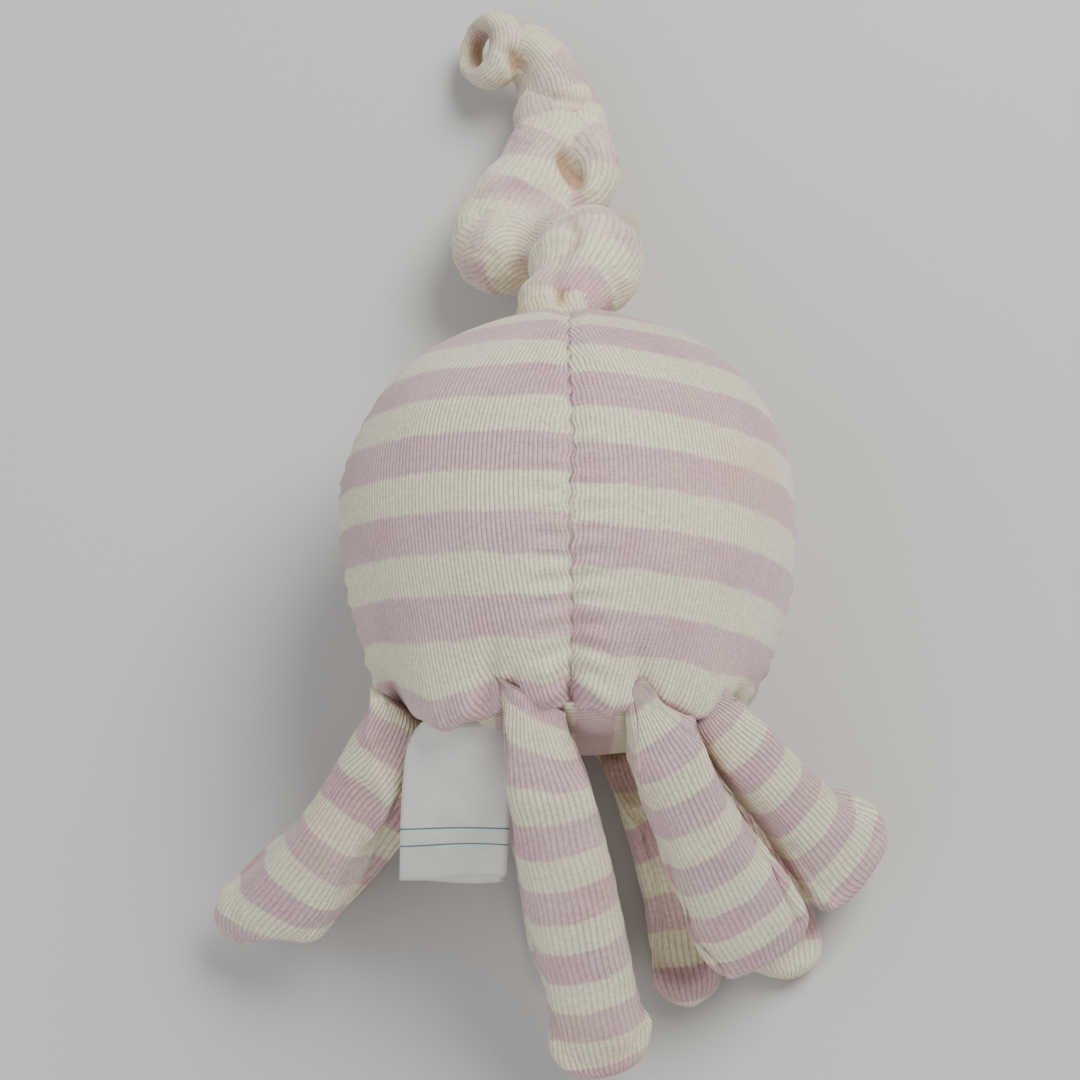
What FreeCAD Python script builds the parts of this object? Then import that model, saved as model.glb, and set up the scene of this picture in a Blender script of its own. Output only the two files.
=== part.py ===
import FreeCAD, Part
import math
import os

# A knitted octopus toy with a pull cord, lying on its face.
# All sizes are in millimetres. The origin is the centre of the flat patch that the face rests on,
# +Z is up, +Y runs from the legs to the hanging loop, and +X is to the right when seen from above.

Vector = FreeCAD.Vector

# ---------------------------------------------------------------- head
HEAD_AXIS_Z = 50.0          # height of the head's own axis, which runs along Y
KNIT = 1.4                  # thickness of the knitted cover
HEAD_TOP_Y = 57.0
BASE_SEAM_Y = -53.0         # the ring seam where the base panel and the legs are sewn in
BASE_SEAM_RADIUS = 40.0
BASE_BULGE_Y = -57.0
HEAD_OUTLINE = [            # (place along the axis, radius), from the crown to the base seam
    (54.5, 14.0),
    (49.5, 28.0),
    (41.0, 42.0),
    (27.0, 53.0),
    (7.0, 58.5),
    (-15.0, 57.5),
    (-34.0, 51.5),
    (-47.0, 44.0),
]
FLAT_END_RADIUS = 6.0       # flat discs where the form meets its own axis
HEAD_FORM_START = 25.0      # keeps the surface's own joining line off the seams
SPHERE_POLES = Vector(1.0, 0.3, 0.35)   # keeps the poles of round forms off their cuts
FAR = 200.0                 # half the side of a box that reaches past the whole toy

# ---------------------------------------------------------------- face
EYE_X = 17.0
EYE_Y = 9.0
EYE_LENGTH = 8.0
EYE_WIDTH = 6.0
STITCH_DEPTH = 0.9          # how far the embroidery is set into the cover
MOUTH_CENTRE_Y = 6.0
MOUTH_RADIUS = 14.0
MOUTH_WIDTH = 1.6
MOUTH_HALF_ANGLE = 38.0

# ---------------------------------------------------------------- legs
LEG_ROOT_GAP = 11.5         # from the base seam to the line that the leg turns about
LEG_ROOT_HALF_WIDTH = 10.0
LEG_ROOT_RADIUS = 5.0
LEG_ROOT_ROUNDING = 4.0     # how far the leg reaches behind its turning line
LEG_END_SHARE = 0.62        # size of the leg's near end against its size at the turning line
LEG_TIP_HALF_THICKNESS = 2.6
LEG_SKIN = 1.1
LEG_TIP_SEAM = 2.5          # the sewn end that the filling does not reach
LEG_STUFFING_GAP_RADIUS = 2.0
LEG_SECTIONS = (            # (share of the length, share of the middle thickness)
    (0.0, None),
    (0.25, 0.95),
    (0.5, 1.0),
    (0.75, 0.82),
    (1.0, None),
)

# name: (angle round the base seam, middle of the leg, tip of the leg,
#        half width at the middle, half width at the tip, half thickness at the middle)
LEGS = {
    "leg_back_outer_left": (160.0, (-61.0, -81.0, 41.0), (-80.0, -103.0, 17.0), 12.0, 15.0, 9.0),
    "leg_back_inner_left": (103.0, (0.0, -92.0, 58.0), (8.0, -130.0, 18.0), 12.5, 13.5, 9.5),
    "leg_back_inner_right": (65.0, (34.5, -83.0, 57.0), (51.0, -108.0, 20.0), 12.5, 15.5, 9.0),
    "leg_back_outer_right": (22.0, (62.0, -74.0, 35.0), (80.0, -88.5, 8.0), 11.5, 15.0, 8.5),
    "leg_front_outer_left": (202.0, (-54.0, -80.0, 12.0), (-67.0, -98.0, 4.5), 10.5, 11.0, 7.5),
    "leg_front_inner_left": (248.0, (-8.0, -88.0, 8.6), (1.0, -118.0, 4.5), 10.5, 11.0, 7.5),
    "leg_front_inner_right": (292.0, (22.0, -90.0, 8.5), (29.0, -120.0, 4.5), 10.0, 10.5, 7.5),
    "leg_front_outer_right": (337.0, (50.0, -84.0, 11.0), (60.0, -110.0, 4.5), 10.5, 11.0, 7.5),
}

# ---------------------------------------------------------------- sleeve, cord and hanging loop
SLEEVE_START_Y = 57.4
SLEEVE_END_Y = 131.5
LOOP_START_Y = 132.0
SLEEVE_FOLDS = [            # (centre, radius) of each bunched fold, from the head to the loop
    ((0.0, 62.0, 49.0), 10.0),
    ((8.0, 74.0, 40.0), 13.0),
    ((-4.0, 81.0, 30.0), 12.5),
    ((-16.0, 88.0, 20.0), 14.5),
    ((-5.0, 99.0, 16.0), 12.5),
    ((5.0, 110.0, 14.5), 13.5),
    ((1.0, 124.0, 13.0), 12.0),
]
LOOP_NECK_FOLDS = [             # (centre, radius) of the strap's folds below the ring
    ((0.0, 136.5, 12.5), 10.0),
    ((-6.0, 143.0, 12.2), 8.5),
]
LOOP_CENTRE = (-20.0, 149.0, 12.0)
LOOP_RING_RADIUS = 9.5
LOOP_TUBE_RADIUS = 3.8
LOOP_TILT = 35.0            # how far the hole leans towards -X

CORD_RADIUS = 0.8
CORD_CHANNEL_RADIUS = 1.6
CORD_ROUTE = [              # corners of the cord's path from the drum to the loop
    (0.0, 5.7, 50.0),
    (0.0, 62.0, 50.0),
    (1.5, 85.0, 31.5),
    (-1.0, 107.0, 16.5),
    (-2.0, 133.5, 12.5),
]
ARC_SHARE = 0.45            # share of the shorter run that each bend of the cord takes
KNOT_CENTRE = (-2.1, 136.0, 12.1)
KNOT_RADIUS = 2.4
KNOT_ROOM = 0.2

TAB_CORNER = (2.0, 88.5, 17.0)
TAB_SIZE = (18.5, 9.5, 0.6)

# ---------------------------------------------------------------- labels at the base seam
LABEL_TOP = (-22.0, -57.5, 77.0)
LABEL_BOTTOM = (-30.0, -91.0, 44.0)
LABEL_TOP_HALF_WIDTH = 8.5
LABEL_BOTTOM_HALF_WIDTH = 13.5
LABEL_THICKNESS = 0.6
UNDER_LABEL_DROP = 2.4      # how far the second label hangs below the first
UNDER_LABEL_EXTRA = 3.5     # how much longer the second label is

# ---------------------------------------------------------------- pull-cord unit inside the head
UNIT_BOTTOM_Z = 43.0        # underside of the round housing
HOUSING_RADIUS = 27.5
HOUSING_WALL = 1.8
HOUSING_FLOOR = 2.0
HOUSING_INSIDE_HEIGHT = 13.6
COVER_THICKNESS = 2.0
COVER_SKIRT = 1.3
COVER_SKIRT_HEIGHT = 4.0
COVER_FIT = 0.1
STUFFING_CLEARANCE = 0.4

SCREW_CIRCLE = 23.2
SCREW_ANGLES = (35.0, 148.0, 215.0, 290.0)
SCREW_SHANK_RADIUS = 0.9
SCREW_HEAD_RADIUS = 1.7
SCREW_HEAD_HEIGHT = 1.0
SCREW_LENGTH = 9.0
SCREW_FIT = 0.03
BOSS_RADIUS = 2.2

BUSH_BORE_RADIUS = 1.2
BUSH_BODY_RADIUS = 2.4
BUSH_FLANGE_RADIUS = 3.6
BUSH_FLANGE_THICKNESS = 1.2
BUSH_FIT = 0.03

GEAR_MODULE = 0.6
PRESSURE_ANGLE = 20.0
BACKLASH = 0.12
WHEEL_ADDENDUM = 0.75       # shortened wheel teeth clear the roots of the small pinions
PINION_ADDENDUM = 0.95
DEDENDUM = 1.25
DRUM_TEETH = 36
PINION_TEETH = 12
IDLER_TEETH = 30
DRUM_CENTRE = (-9.0, 0.0)
IDLER_BEARING = -50.0       # direction from the drum's axle to the idler's axle
ROTOR_BEARING = 20.0        # direction from the idler's axle to the rotor's axle

COIL_RADIUS = 9.8
DRUM_WALL_RADIUS = 8.0
SPRING_CUP_RADIUS = 7.0
FLANGE_RADIUS = 11.25
FLANGE_THICKNESS = 1.2
COIL_HEIGHT = 5.0
COIL_GAP = 0.05
DRUM_GEAR_HEIGHT = 2.0
IDLER_GEAR_HEIGHT = 1.8
LAYER_GAP = 0.7

AXLE_RADIUS = 1.0
AXLE_PRESS_GAP = 0.02
AXLE_RUNNING_GAP = 0.05
AXLE_DEPTH = 1.2            # how far an axle enters the floor and the cover
POST_RADIUS = 2.2           # the fixed post that holds the spring's inner end
IDLER_POST_RADIUS = 1.9
END_GAP = 0.15              # play of a wheel along its axle

ROTOR_HUB_RADIUS = 2.4
ROTOR_HUB_FIT = 0.02
ROTOR_COLLAR_RADIUS = 4.2
ROTOR_WEIGHT_RADIUS = 9.5
ROTOR_WEIGHT_HEIGHT = 5.6
ROTOR_FLOOR_GAP = 0.8

SPRING_START_RADIUS = 2.6
SPRING_END_RADIUS = 6.5
SPRING_TURNS = 4
SPRING_THICKNESS = 0.3
SPRING_HEIGHT = 4.0
SPRING_POINTS_PER_TURN = 10

# Heights and places that follow from the sizes above.
CORD_Z = HEAD_AXIS_Z
FLOOR_Z = UNIT_BOTTOM_Z + HOUSING_FLOOR
CEILING_Z = FLOOR_Z + HOUSING_INSIDE_HEIGHT
UNIT_TOP_Z = CEILING_Z + COVER_THICKNESS
UNIT_RADIUS = HOUSING_RADIUS + COVER_FIT + COVER_SKIRT
COIL_Z = CORD_Z - COIL_HEIGHT / 2
DRUM_BOTTOM_Z = COIL_Z - FLANGE_THICKNESS
DRUM_GEAR_Z = COIL_Z + COIL_HEIGHT
IDLER_PINION_Z = DRUM_GEAR_Z + 0.1
IDLER_GEAR_Z = DRUM_GEAR_Z + DRUM_GEAR_HEIGHT + LAYER_GAP
ROTOR_BOTTOM_Z = FLOOR_Z + ROTOR_FLOOR_GAP
ROTOR_PINION_Z = IDLER_GEAR_Z + 0.1


def pitch_radius(teeth):
    return GEAR_MODULE * teeth / 2


def point_along(start, bearing, distance):
    angle = math.radians(bearing)
    return (start[0] + distance * math.cos(angle), start[1] + distance * math.sin(angle))


IDLER_CENTRE = point_along(DRUM_CENTRE, IDLER_BEARING, pitch_radius(DRUM_TEETH + PINION_TEETH))
ROTOR_CENTRE = point_along(IDLER_CENTRE, ROTOR_BEARING, pitch_radius(IDLER_TEETH + PINION_TEETH))
AXLE_CENTRES = {
    "drum_axle": DRUM_CENTRE,
    "idler_axle": IDLER_CENTRE,
    "rotor_axle": ROTOR_CENTRE,
}


# ---------------------------------------------------------------- shared shapes
def cylinder(centre, bottom, radius, height):
    """An upright cylinder about a point of the plan."""
    return Part.makeCylinder(radius, height, Vector(centre[0], centre[1], bottom))


def tube_ring(centre, bottom, outer, inner, height):
    return cylinder(centre, bottom, outer, height).cut(cylinder(centre, bottom, inner, height))


def sphere(centre, radius):
    return Part.makeSphere(radius, Vector(*centre), SPHERE_POLES)


def box_between(low, high):
    size = [high[axis] - low[axis] for axis in range(3)]
    return Part.makeBox(size[0], size[1], size[2], Vector(*low))


def fuse_all(shapes):
    whole = shapes[0]
    for shape in shapes[1:]:
        whole = whole.fuse(shape)
    return whole.removeSplitter()


def cut_all(shape, tools):
    for tool in tools:
        shape = shape.cut(tool)
    return shape


def largest_solid(shape):
    return max(shape.Solids, key=lambda solid: solid.Volume)


def rounded_path(corners):
    """Straight runs joined by arcs that touch both runs."""
    points = [Vector(*corner) for corner in corners]
    edges = []
    start = points[0]
    for before, corner, after in zip(points, points[1:], points[2:]):
        back = (before - corner).normalize()
        ahead = (after - corner).normalize()
        reach = ARC_SHARE * min((before - corner).Length, (after - corner).Length)
        half_turn = (math.pi - back.getAngle(ahead)) / 2
        radius = reach / math.tan(half_turn)
        print("bend radius", round(radius, 1))
        arc_start = corner + back * reach
        arc_end = corner + ahead * reach
        to_centre = (back + ahead).normalize()
        centre = corner + to_centre * (radius / math.cos(half_turn))
        arc_middle = centre - to_centre * radius
        edges.append(Part.LineSegment(start, arc_start).toShape())
        edges.append(Part.Arc(arc_start, arc_middle, arc_end).toShape())
        start = arc_end
    edges.append(Part.LineSegment(start, points[-1]).toShape())
    return Part.Wire(edges)


def tube_along(corners, radius):
    path = rounded_path(corners)
    start = Vector(*corners[0])
    direction = Vector(*corners[1]) - start
    section = Part.Wire(Part.makeCircle(radius, start, direction))
    return path.makePipeShell([section], True, True)


# ---------------------------------------------------------------- head
def head_form(inset):
    """The head turned about its axis, drawn in by inset and flattened where it rests."""
    top = HEAD_TOP_Y - inset
    shrink = top / HEAD_TOP_Y
    seam = Vector(BASE_SEAM_RADIUS - inset, BASE_SEAM_Y + inset, 0)
    crown = Vector(0, top, 0)
    crown_edge = Vector(FLAT_END_RADIUS, top, 0)
    base_centre = Vector(0, BASE_BULGE_Y + inset, 0)
    base_edge = Vector(FLAT_END_RADIUS, base_centre.y, 0)
    side = Part.BSplineCurve()
    side.interpolate(
        [crown_edge]
        + [Vector(radius - inset, place * shrink, 0) for place, radius in HEAD_OUTLINE]
        + [seam]
    )
    base_middle = Vector(seam.x * 0.6, seam.y + 0.65 * (base_centre.y - seam.y), 0)
    base = Part.Arc(seam, base_middle, base_edge)
    closing = Part.makePolygon([base_edge, base_centre, crown, crown_edge])
    outline = Part.Face(Part.Wire([side.toShape(), base.toShape()] + closing.Edges))
    form = outline.revolve(Vector(0, 0, 0), Vector(0, 1, 0), 360)
    form.rotate(Vector(0, 0, 0), Vector(0, 1, 0), HEAD_FORM_START)
    form.translate(Vector(0, 0, HEAD_AXIS_Z))
    return largest_solid(form.common(box_between((-FAR, -FAR, inset), (FAR, FAR, FAR))))


def cord_channel():
    return tube_along(CORD_ROUTE, CORD_CHANNEL_RADIUS)


def head_covers():
    """The knitted cover, cut along its seams: two back panels, the face and the base."""
    shell = head_form(0).cut(head_form(KNIT)).cut(cord_channel())
    spans = {
        "back_panel_left": ((-FAR, BASE_SEAM_Y, HEAD_AXIS_Z), (0, FAR, FAR)),
        "back_panel_right": ((0, BASE_SEAM_Y, HEAD_AXIS_Z), (FAR, FAR, FAR)),
        "face_panel": ((-FAR, BASE_SEAM_Y, -FAR), (FAR, FAR, HEAD_AXIS_Z)),
        "base_panel": ((-FAR, -FAR, -FAR), (FAR, BASE_SEAM_Y, FAR)),
    }
    covers = {name: largest_solid(shell.common(box_between(*span))) for name, span in spans.items()}
    covers["face_panel"] = cut_all(covers["face_panel"], [eye(-1), eye(1), mouth()])
    return covers


def head_stuffing():
    """The fibre filling, with room for the pull-cord unit and the way of the cord."""
    unit_room = cylinder(
        (0, 0),
        UNIT_BOTTOM_Z - STUFFING_CLEARANCE,
        UNIT_RADIUS + STUFFING_CLEARANCE,
        UNIT_TOP_Z - UNIT_BOTTOM_Z + 2 * STUFFING_CLEARANCE,
    )
    bush_room = Part.makeCylinder(
        BUSH_FLANGE_RADIUS + STUFFING_CLEARANCE,
        BUSH_FLANGE_THICKNESS + 2 * STUFFING_CLEARANCE,
        Vector(0, HOUSING_RADIUS, CORD_Z),
        Vector(0, 1, 0),
    )
    return largest_solid(cut_all(head_form(KNIT), [unit_room, bush_room, cord_channel()]))


def eye(side):
    """A satin-stitched oval let into the resting side of the cover."""
    centre = Vector(side * EYE_X, EYE_Y, 0)
    oval = Part.Ellipse(
        centre + Vector(0, EYE_LENGTH / 2, 0), centre + Vector(EYE_WIDTH / 2, 0, 0), centre
    )
    return Part.Face(Part.Wire(oval.toShape())).extrude(Vector(0, 0, STITCH_DEPTH))


def mouth():
    """A curved line of stitching below the eyes."""
    centre = (0, MOUTH_CENTRE_Y)
    band = tube_ring(
        centre, 0, MOUTH_RADIUS + MOUTH_WIDTH / 2, MOUTH_RADIUS - MOUTH_WIDTH / 2, STITCH_DEPTH
    )
    reach = 2 * MOUTH_RADIUS
    spread = reach * math.tan(math.radians(MOUTH_HALF_ANGLE))
    corners = [
        Vector(0, MOUTH_CENTRE_Y, 0),
        Vector(-spread, MOUTH_CENTRE_Y - reach, 0),
        Vector(spread, MOUTH_CENTRE_Y - reach, 0),
        Vector(0, MOUTH_CENTRE_Y, 0),
    ]
    wedge = Part.Face(Part.makePolygon(corners)).extrude(Vector(0, 0, STITCH_DEPTH))
    return band.common(wedge)


# ---------------------------------------------------------------- legs
def leg_frame(spec):
    """The turning point in the seam, the leg's middle and tip, and its sideways direction."""
    ring_angle, middle, tip = spec[:3]
    angle = math.radians(ring_angle)
    seam = Vector(
        BASE_SEAM_RADIUS * math.cos(angle),
        BASE_SEAM_Y,
        HEAD_AXIS_Z + BASE_SEAM_RADIUS * math.sin(angle),
    )
    middle = Vector(*middle)
    tip = Vector(*tip)
    root = seam + (middle - seam).normalize() * LEG_ROOT_GAP
    sideways = (tip - root).cross(Vector(0, 0, 1)).normalize()
    return root, middle, tip, sideways


def oval_section(centre, along, sideways, half_width, half_thickness):
    upright = sideways.cross(along).normalize()
    oval = Part.Ellipse(
        centre + sideways * half_width, centre + upright * half_thickness, centre
    )
    return Part.Wire(oval.toShape())


def leg_form(spec, inset):
    """A stuffed leg: rounded where it turns, full in the middle, flat and wide at the tip."""
    root, middle, tip, sideways = leg_frame(spec)
    middle_half_width, tip_half_width, middle_half_thickness = spec[3:]
    centre_line = Part.BSplineCurve()
    centre_line.interpolate([root, middle, tip])
    usable = centre_line.length() - (LEG_TIP_SEAM if inset else 0)
    start_along = centre_line.tangent(centre_line.FirstParameter)[0]
    sections = [
        oval_section(
            root - start_along * (LEG_ROOT_ROUNDING - inset),
            start_along,
            sideways,
            LEG_ROOT_HALF_WIDTH * LEG_END_SHARE - inset,
            LEG_ROOT_RADIUS * LEG_END_SHARE - inset,
        )
    ]
    for share, fullness in LEG_SECTIONS:
        parameter = centre_line.parameterAtDistance(share * usable)
        if share < 0.5:
            half_width = LEG_ROOT_HALF_WIDTH + 2 * share * (middle_half_width - LEG_ROOT_HALF_WIDTH)
        else:
            half_width = middle_half_width + (2 * share - 1) * (tip_half_width - middle_half_width)
        sections.append(
            oval_section(
                centre_line.value(parameter),
                centre_line.tangent(parameter)[0],
                sideways,
                half_width - inset,
                leg_half_thickness(share, fullness, middle_half_thickness) - inset,
            )
        )
    return Part.makeLoft(sections, True, False)


def leg_half_thickness(share, fullness, middle_half_thickness):
    if share == 0.0:
        return LEG_ROOT_RADIUS
    if share == 1.0:
        return LEG_TIP_HALF_THICKNESS
    return middle_half_thickness * fullness


def leg_pieces(name):
    """The knitted tube of one leg and its filling."""
    spec = LEGS[name]
    outer = leg_form(spec, 0)
    filling = leg_form(spec, LEG_SKIN)
    root, middle, tip, sideways = leg_frame(spec)
    along = (middle - root).normalize()
    gap = Part.makeCylinder(LEG_STUFFING_GAP_RADIUS, 2 * LEG_ROOT_RADIUS, root, along * -1)
    skin = largest_solid(outer.cut(filling).cut(gap))
    return {name + "_skin": skin, name + "_filling": largest_solid(filling)}


# ---------------------------------------------------------------- sleeve, cord and hanging loop
def pull_sleeve():
    folds = fuse_all([sphere(centre, radius) for centre, radius in SLEEVE_FOLDS])
    span = box_between((-FAR, SLEEVE_START_Y, -FAR), (FAR, SLEEVE_END_Y, FAR))
    return largest_solid(folds.common(span).cut(cord_channel()))


def pull_cord():
    return tube_along(CORD_ROUTE, CORD_RADIUS)


def loop_ring():
    """The bent tube of the loop, with its hole leaning towards -X."""
    ring = Part.makeTorus(LOOP_RING_RADIUS, LOOP_TUBE_RADIUS)
    ring.rotate(Vector(0, 0, 0), Vector(0, 1, 0), -LOOP_TILT)
    ring.translate(Vector(*LOOP_CENTRE))
    return ring


def hang_loop():
    folds = [sphere(centre, radius) for centre, radius in LOOP_NECK_FOLDS]
    whole = fuse_all(folds + [loop_ring()])
    span = box_between((-FAR, LOOP_START_Y, -FAR), (FAR, FAR, FAR))
    pocket = sphere(KNOT_CENTRE, KNOT_RADIUS + KNOT_ROOM)
    return largest_solid(cut_all(whole.common(span), [cord_channel(), pocket]))


def cord_knot():
    return sphere(KNOT_CENTRE, KNOT_RADIUS)


def sleeve_tab():
    """A folded ribbon that stands out beside the sleeve."""
    high = [TAB_CORNER[axis] + TAB_SIZE[axis] for axis in range(3)]
    return largest_solid(box_between(TAB_CORNER, high).cut(pull_sleeve()))


# ---------------------------------------------------------------- labels
def label_leaf(drop, extra):
    """A strip of woven ribbon, narrow where it is gathered into the seam."""
    top = Vector(*LABEL_TOP)
    bottom = Vector(*LABEL_BOTTOM)
    along = (bottom - top).normalize()
    sideways = along.cross(Vector(0, 0, 1)).normalize()
    normal = sideways.cross(along).normalize()
    if normal.z > 0:
        normal = normal * -1
    top = top + normal * drop
    bottom = bottom + normal * drop + along * extra
    corners = [
        top - sideways * LABEL_TOP_HALF_WIDTH,
        top + sideways * LABEL_TOP_HALF_WIDTH,
        bottom + sideways * LABEL_BOTTOM_HALF_WIDTH,
        bottom - sideways * LABEL_BOTTOM_HALF_WIDTH,
        top - sideways * LABEL_TOP_HALF_WIDTH,
    ]
    return Part.Face(Part.makePolygon(corners)).extrude(normal * LABEL_THICKNESS)


# ---------------------------------------------------------------- gears
def involute(angle):
    return math.tan(angle) - angle


def tooth_half_angle(teeth, radius):
    """Half the angle that a tooth covers at a radius, seen from the gear's centre."""
    pitch = pitch_radius(teeth)
    base = pitch * math.cos(math.radians(PRESSURE_ANGLE))
    at_pitch = math.pi / (2 * teeth) - BACKLASH / (4 * pitch)
    pressure = math.acos(min(1.0, base / radius)) if radius > base else 0.0
    return at_pitch + involute(math.radians(PRESSURE_ANGLE)) - involute(pressure)


def gear(teeth, addendum, centre, bottom, height, first_tooth):
    """A spur gear whose first tooth points along a bearing in degrees."""
    pitch = pitch_radius(teeth)
    root = pitch - DEDENDUM * GEAR_MODULE
    tip = pitch + addendum * GEAR_MODULE
    flank = [root, (root + pitch) / 2, pitch, (pitch + tip) / 2, tip]
    corners = []
    for tooth in range(teeth):
        middle = math.radians(first_tooth) + 2 * math.pi * tooth / teeth
        rising = [(radius, middle - tooth_half_angle(teeth, radius)) for radius in flank]
        falling = [(radius, middle + tooth_half_angle(teeth, radius)) for radius in reversed(flank)]
        for radius, angle in rising + falling:
            corners.append(
                Vector(centre[0] + radius * math.cos(angle), centre[1] + radius * math.sin(angle), bottom)
            )
    corners.append(corners[0])
    return Part.Face(Part.makePolygon(corners)).extrude(Vector(0, 0, height))


def axle_bore(centre):
    return cylinder(centre, UNIT_BOTTOM_Z, AXLE_RADIUS + AXLE_RUNNING_GAP, UNIT_TOP_Z)


def cord_drum():
    """The drum the cord winds on, with a cup for the spring below and the first gear above."""
    flange = tube_ring(
        DRUM_CENTRE, DRUM_BOTTOM_Z, FLANGE_RADIUS, SPRING_CUP_RADIUS, FLANGE_THICKNESS
    )
    wall = tube_ring(DRUM_CENTRE, COIL_Z, DRUM_WALL_RADIUS, SPRING_CUP_RADIUS, COIL_HEIGHT)
    wheel = gear(
        DRUM_TEETH, WHEEL_ADDENDUM, DRUM_CENTRE, DRUM_GEAR_Z, DRUM_GEAR_HEIGHT, IDLER_BEARING
    )
    return fuse_all([flange, wall, wheel]).cut(axle_bore(DRUM_CENTRE))


def cord_coil():
    """The turns of cord on the drum, as one ring."""
    height = COIL_HEIGHT - 2 * COIL_GAP
    return tube_ring(
        DRUM_CENTRE, COIL_Z + COIL_GAP, COIL_RADIUS, DRUM_WALL_RADIUS + COIL_GAP, height
    )


def idler_gear():
    """A small pinion driven by the drum, in one piece with the wheel that drives the rotor."""
    meshing_gap = IDLER_BEARING + 180 + 180 / PINION_TEETH
    pinion = gear(
        PINION_TEETH,
        PINION_ADDENDUM,
        IDLER_CENTRE,
        IDLER_PINION_Z,
        IDLER_GEAR_Z - IDLER_PINION_Z,
        meshing_gap,
    )
    wheel = gear(
        IDLER_TEETH, WHEEL_ADDENDUM, IDLER_CENTRE, IDLER_GEAR_Z, IDLER_GEAR_HEIGHT, ROTOR_BEARING
    )
    return pinion.fuse(wheel).cut(axle_bore(IDLER_CENTRE))


def rotor_pinion():
    """The last pinion, on the long hub that carries the weight."""
    meshing_gap = ROTOR_BEARING + 180 + 180 / PINION_TEETH
    pinion = gear(
        PINION_TEETH,
        PINION_ADDENDUM,
        ROTOR_CENTRE,
        ROTOR_PINION_Z,
        IDLER_GEAR_HEIGHT,
        meshing_gap,
    )
    hub = cylinder(ROTOR_CENTRE, ROTOR_BOTTOM_Z, ROTOR_HUB_RADIUS, ROTOR_PINION_Z - ROTOR_BOTTOM_Z)
    return pinion.fuse(hub).cut(axle_bore(ROTOR_CENTRE))


def rotor_weight():
    """An off-centre steel half disc that shakes the toy as it spins."""
    disc = cylinder(ROTOR_CENTRE, ROTOR_BOTTOM_Z, ROTOR_WEIGHT_RADIUS, ROTOR_WEIGHT_HEIGHT)
    left_out = box_between(
        (ROTOR_CENTRE[0] - FAR, ROTOR_CENTRE[1], 0), (ROTOR_CENTRE[0] + FAR, FAR, FAR)
    )
    collar = cylinder(ROTOR_CENTRE, ROTOR_BOTTOM_Z, ROTOR_COLLAR_RADIUS, ROTOR_WEIGHT_HEIGHT)
    hub_hole = cylinder(
        ROTOR_CENTRE, ROTOR_BOTTOM_Z, ROTOR_HUB_RADIUS + ROTOR_HUB_FIT, ROTOR_WEIGHT_HEIGHT
    )
    return disc.cut(left_out).fuse(collar).cut(hub_hole)


def mainspring():
    """A flat spiral strip between the fixed post and the wall of the drum's cup."""
    def spiral(offset):
        count = SPRING_TURNS * SPRING_POINTS_PER_TURN
        points = []
        for step in range(count + 1):
            share = step / count
            radius = SPRING_START_RADIUS + share * (SPRING_END_RADIUS - SPRING_START_RADIUS) + offset
            angle = 2 * math.pi * SPRING_TURNS * share
            points.append(
                Vector(
                    DRUM_CENTRE[0] + radius * math.cos(angle),
                    DRUM_CENTRE[1] + radius * math.sin(angle),
                    COIL_Z,
                )
            )
        curve = Part.BSplineCurve()
        curve.interpolate(points)
        return curve.toShape(), points[0], points[-1]

    inner, inner_start, inner_end = spiral(0)
    outer, outer_start, outer_end = spiral(SPRING_THICKNESS)
    outline = Part.Wire(
        [inner, Part.makeLine(inner_end, outer_end), outer, Part.makeLine(outer_start, inner_start)]
    )
    return Part.Face(outline).extrude(Vector(0, 0, SPRING_HEIGHT))


# ---------------------------------------------------------------- housing of the pull-cord unit
def screw_centres():
    return [point_along((0, 0), angle, SCREW_CIRCLE) for angle in SCREW_ANGLES]


def axle(centre):
    height = CEILING_Z - FLOOR_Z + 2 * AXLE_DEPTH
    return cylinder(centre, FLOOR_Z - AXLE_DEPTH, AXLE_RADIUS, height)


def axle_sockets():
    height = CEILING_Z - FLOOR_Z + 2 * AXLE_DEPTH
    radius = AXLE_RADIUS + AXLE_PRESS_GAP
    return [
        cylinder(centre, FLOOR_Z - AXLE_DEPTH, radius, height) for centre in AXLE_CENTRES.values()
    ]


def bush_hole():
    return Part.makeCylinder(
        BUSH_BODY_RADIUS + BUSH_FIT,
        2 * HOUSING_WALL + BUSH_FLANGE_THICKNESS,
        Vector(0, HOUSING_RADIUS - 2 * HOUSING_WALL, CORD_Z),
        Vector(0, 1, 0),
    )


def housing_base():
    """The round cup that holds the axles, the spring's post and the screw bosses."""
    outside = cylinder((0, 0), UNIT_BOTTOM_Z, HOUSING_RADIUS, CEILING_Z - UNIT_BOTTOM_Z)
    inside = cylinder((0, 0), FLOOR_Z, HOUSING_RADIUS - HOUSING_WALL, HOUSING_INSIDE_HEIGHT)
    bosses = [
        cylinder(centre, FLOOR_Z, BOSS_RADIUS, HOUSING_INSIDE_HEIGHT) for centre in screw_centres()
    ]
    posts = [
        cylinder(DRUM_CENTRE, FLOOR_Z, POST_RADIUS, DRUM_GEAR_Z - END_GAP - FLOOR_Z),
        cylinder(IDLER_CENTRE, FLOOR_Z, IDLER_POST_RADIUS, IDLER_PINION_Z - END_GAP - FLOOR_Z),
        cylinder(
            ROTOR_CENTRE, FLOOR_Z, IDLER_POST_RADIUS, ROTOR_BOTTOM_Z - END_GAP - FLOOR_Z
        ),
    ]
    screw_holes = [
        cylinder(
            centre,
            CEILING_Z - SCREW_LENGTH,
            SCREW_SHANK_RADIUS + SCREW_FIT,
            SCREW_LENGTH,
        )
        for centre in screw_centres()
    ]
    cup = fuse_all([outside.cut(inside)] + bosses + posts)
    return largest_solid(cut_all(cup, axle_sockets() + screw_holes + [bush_hole()]))


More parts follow.
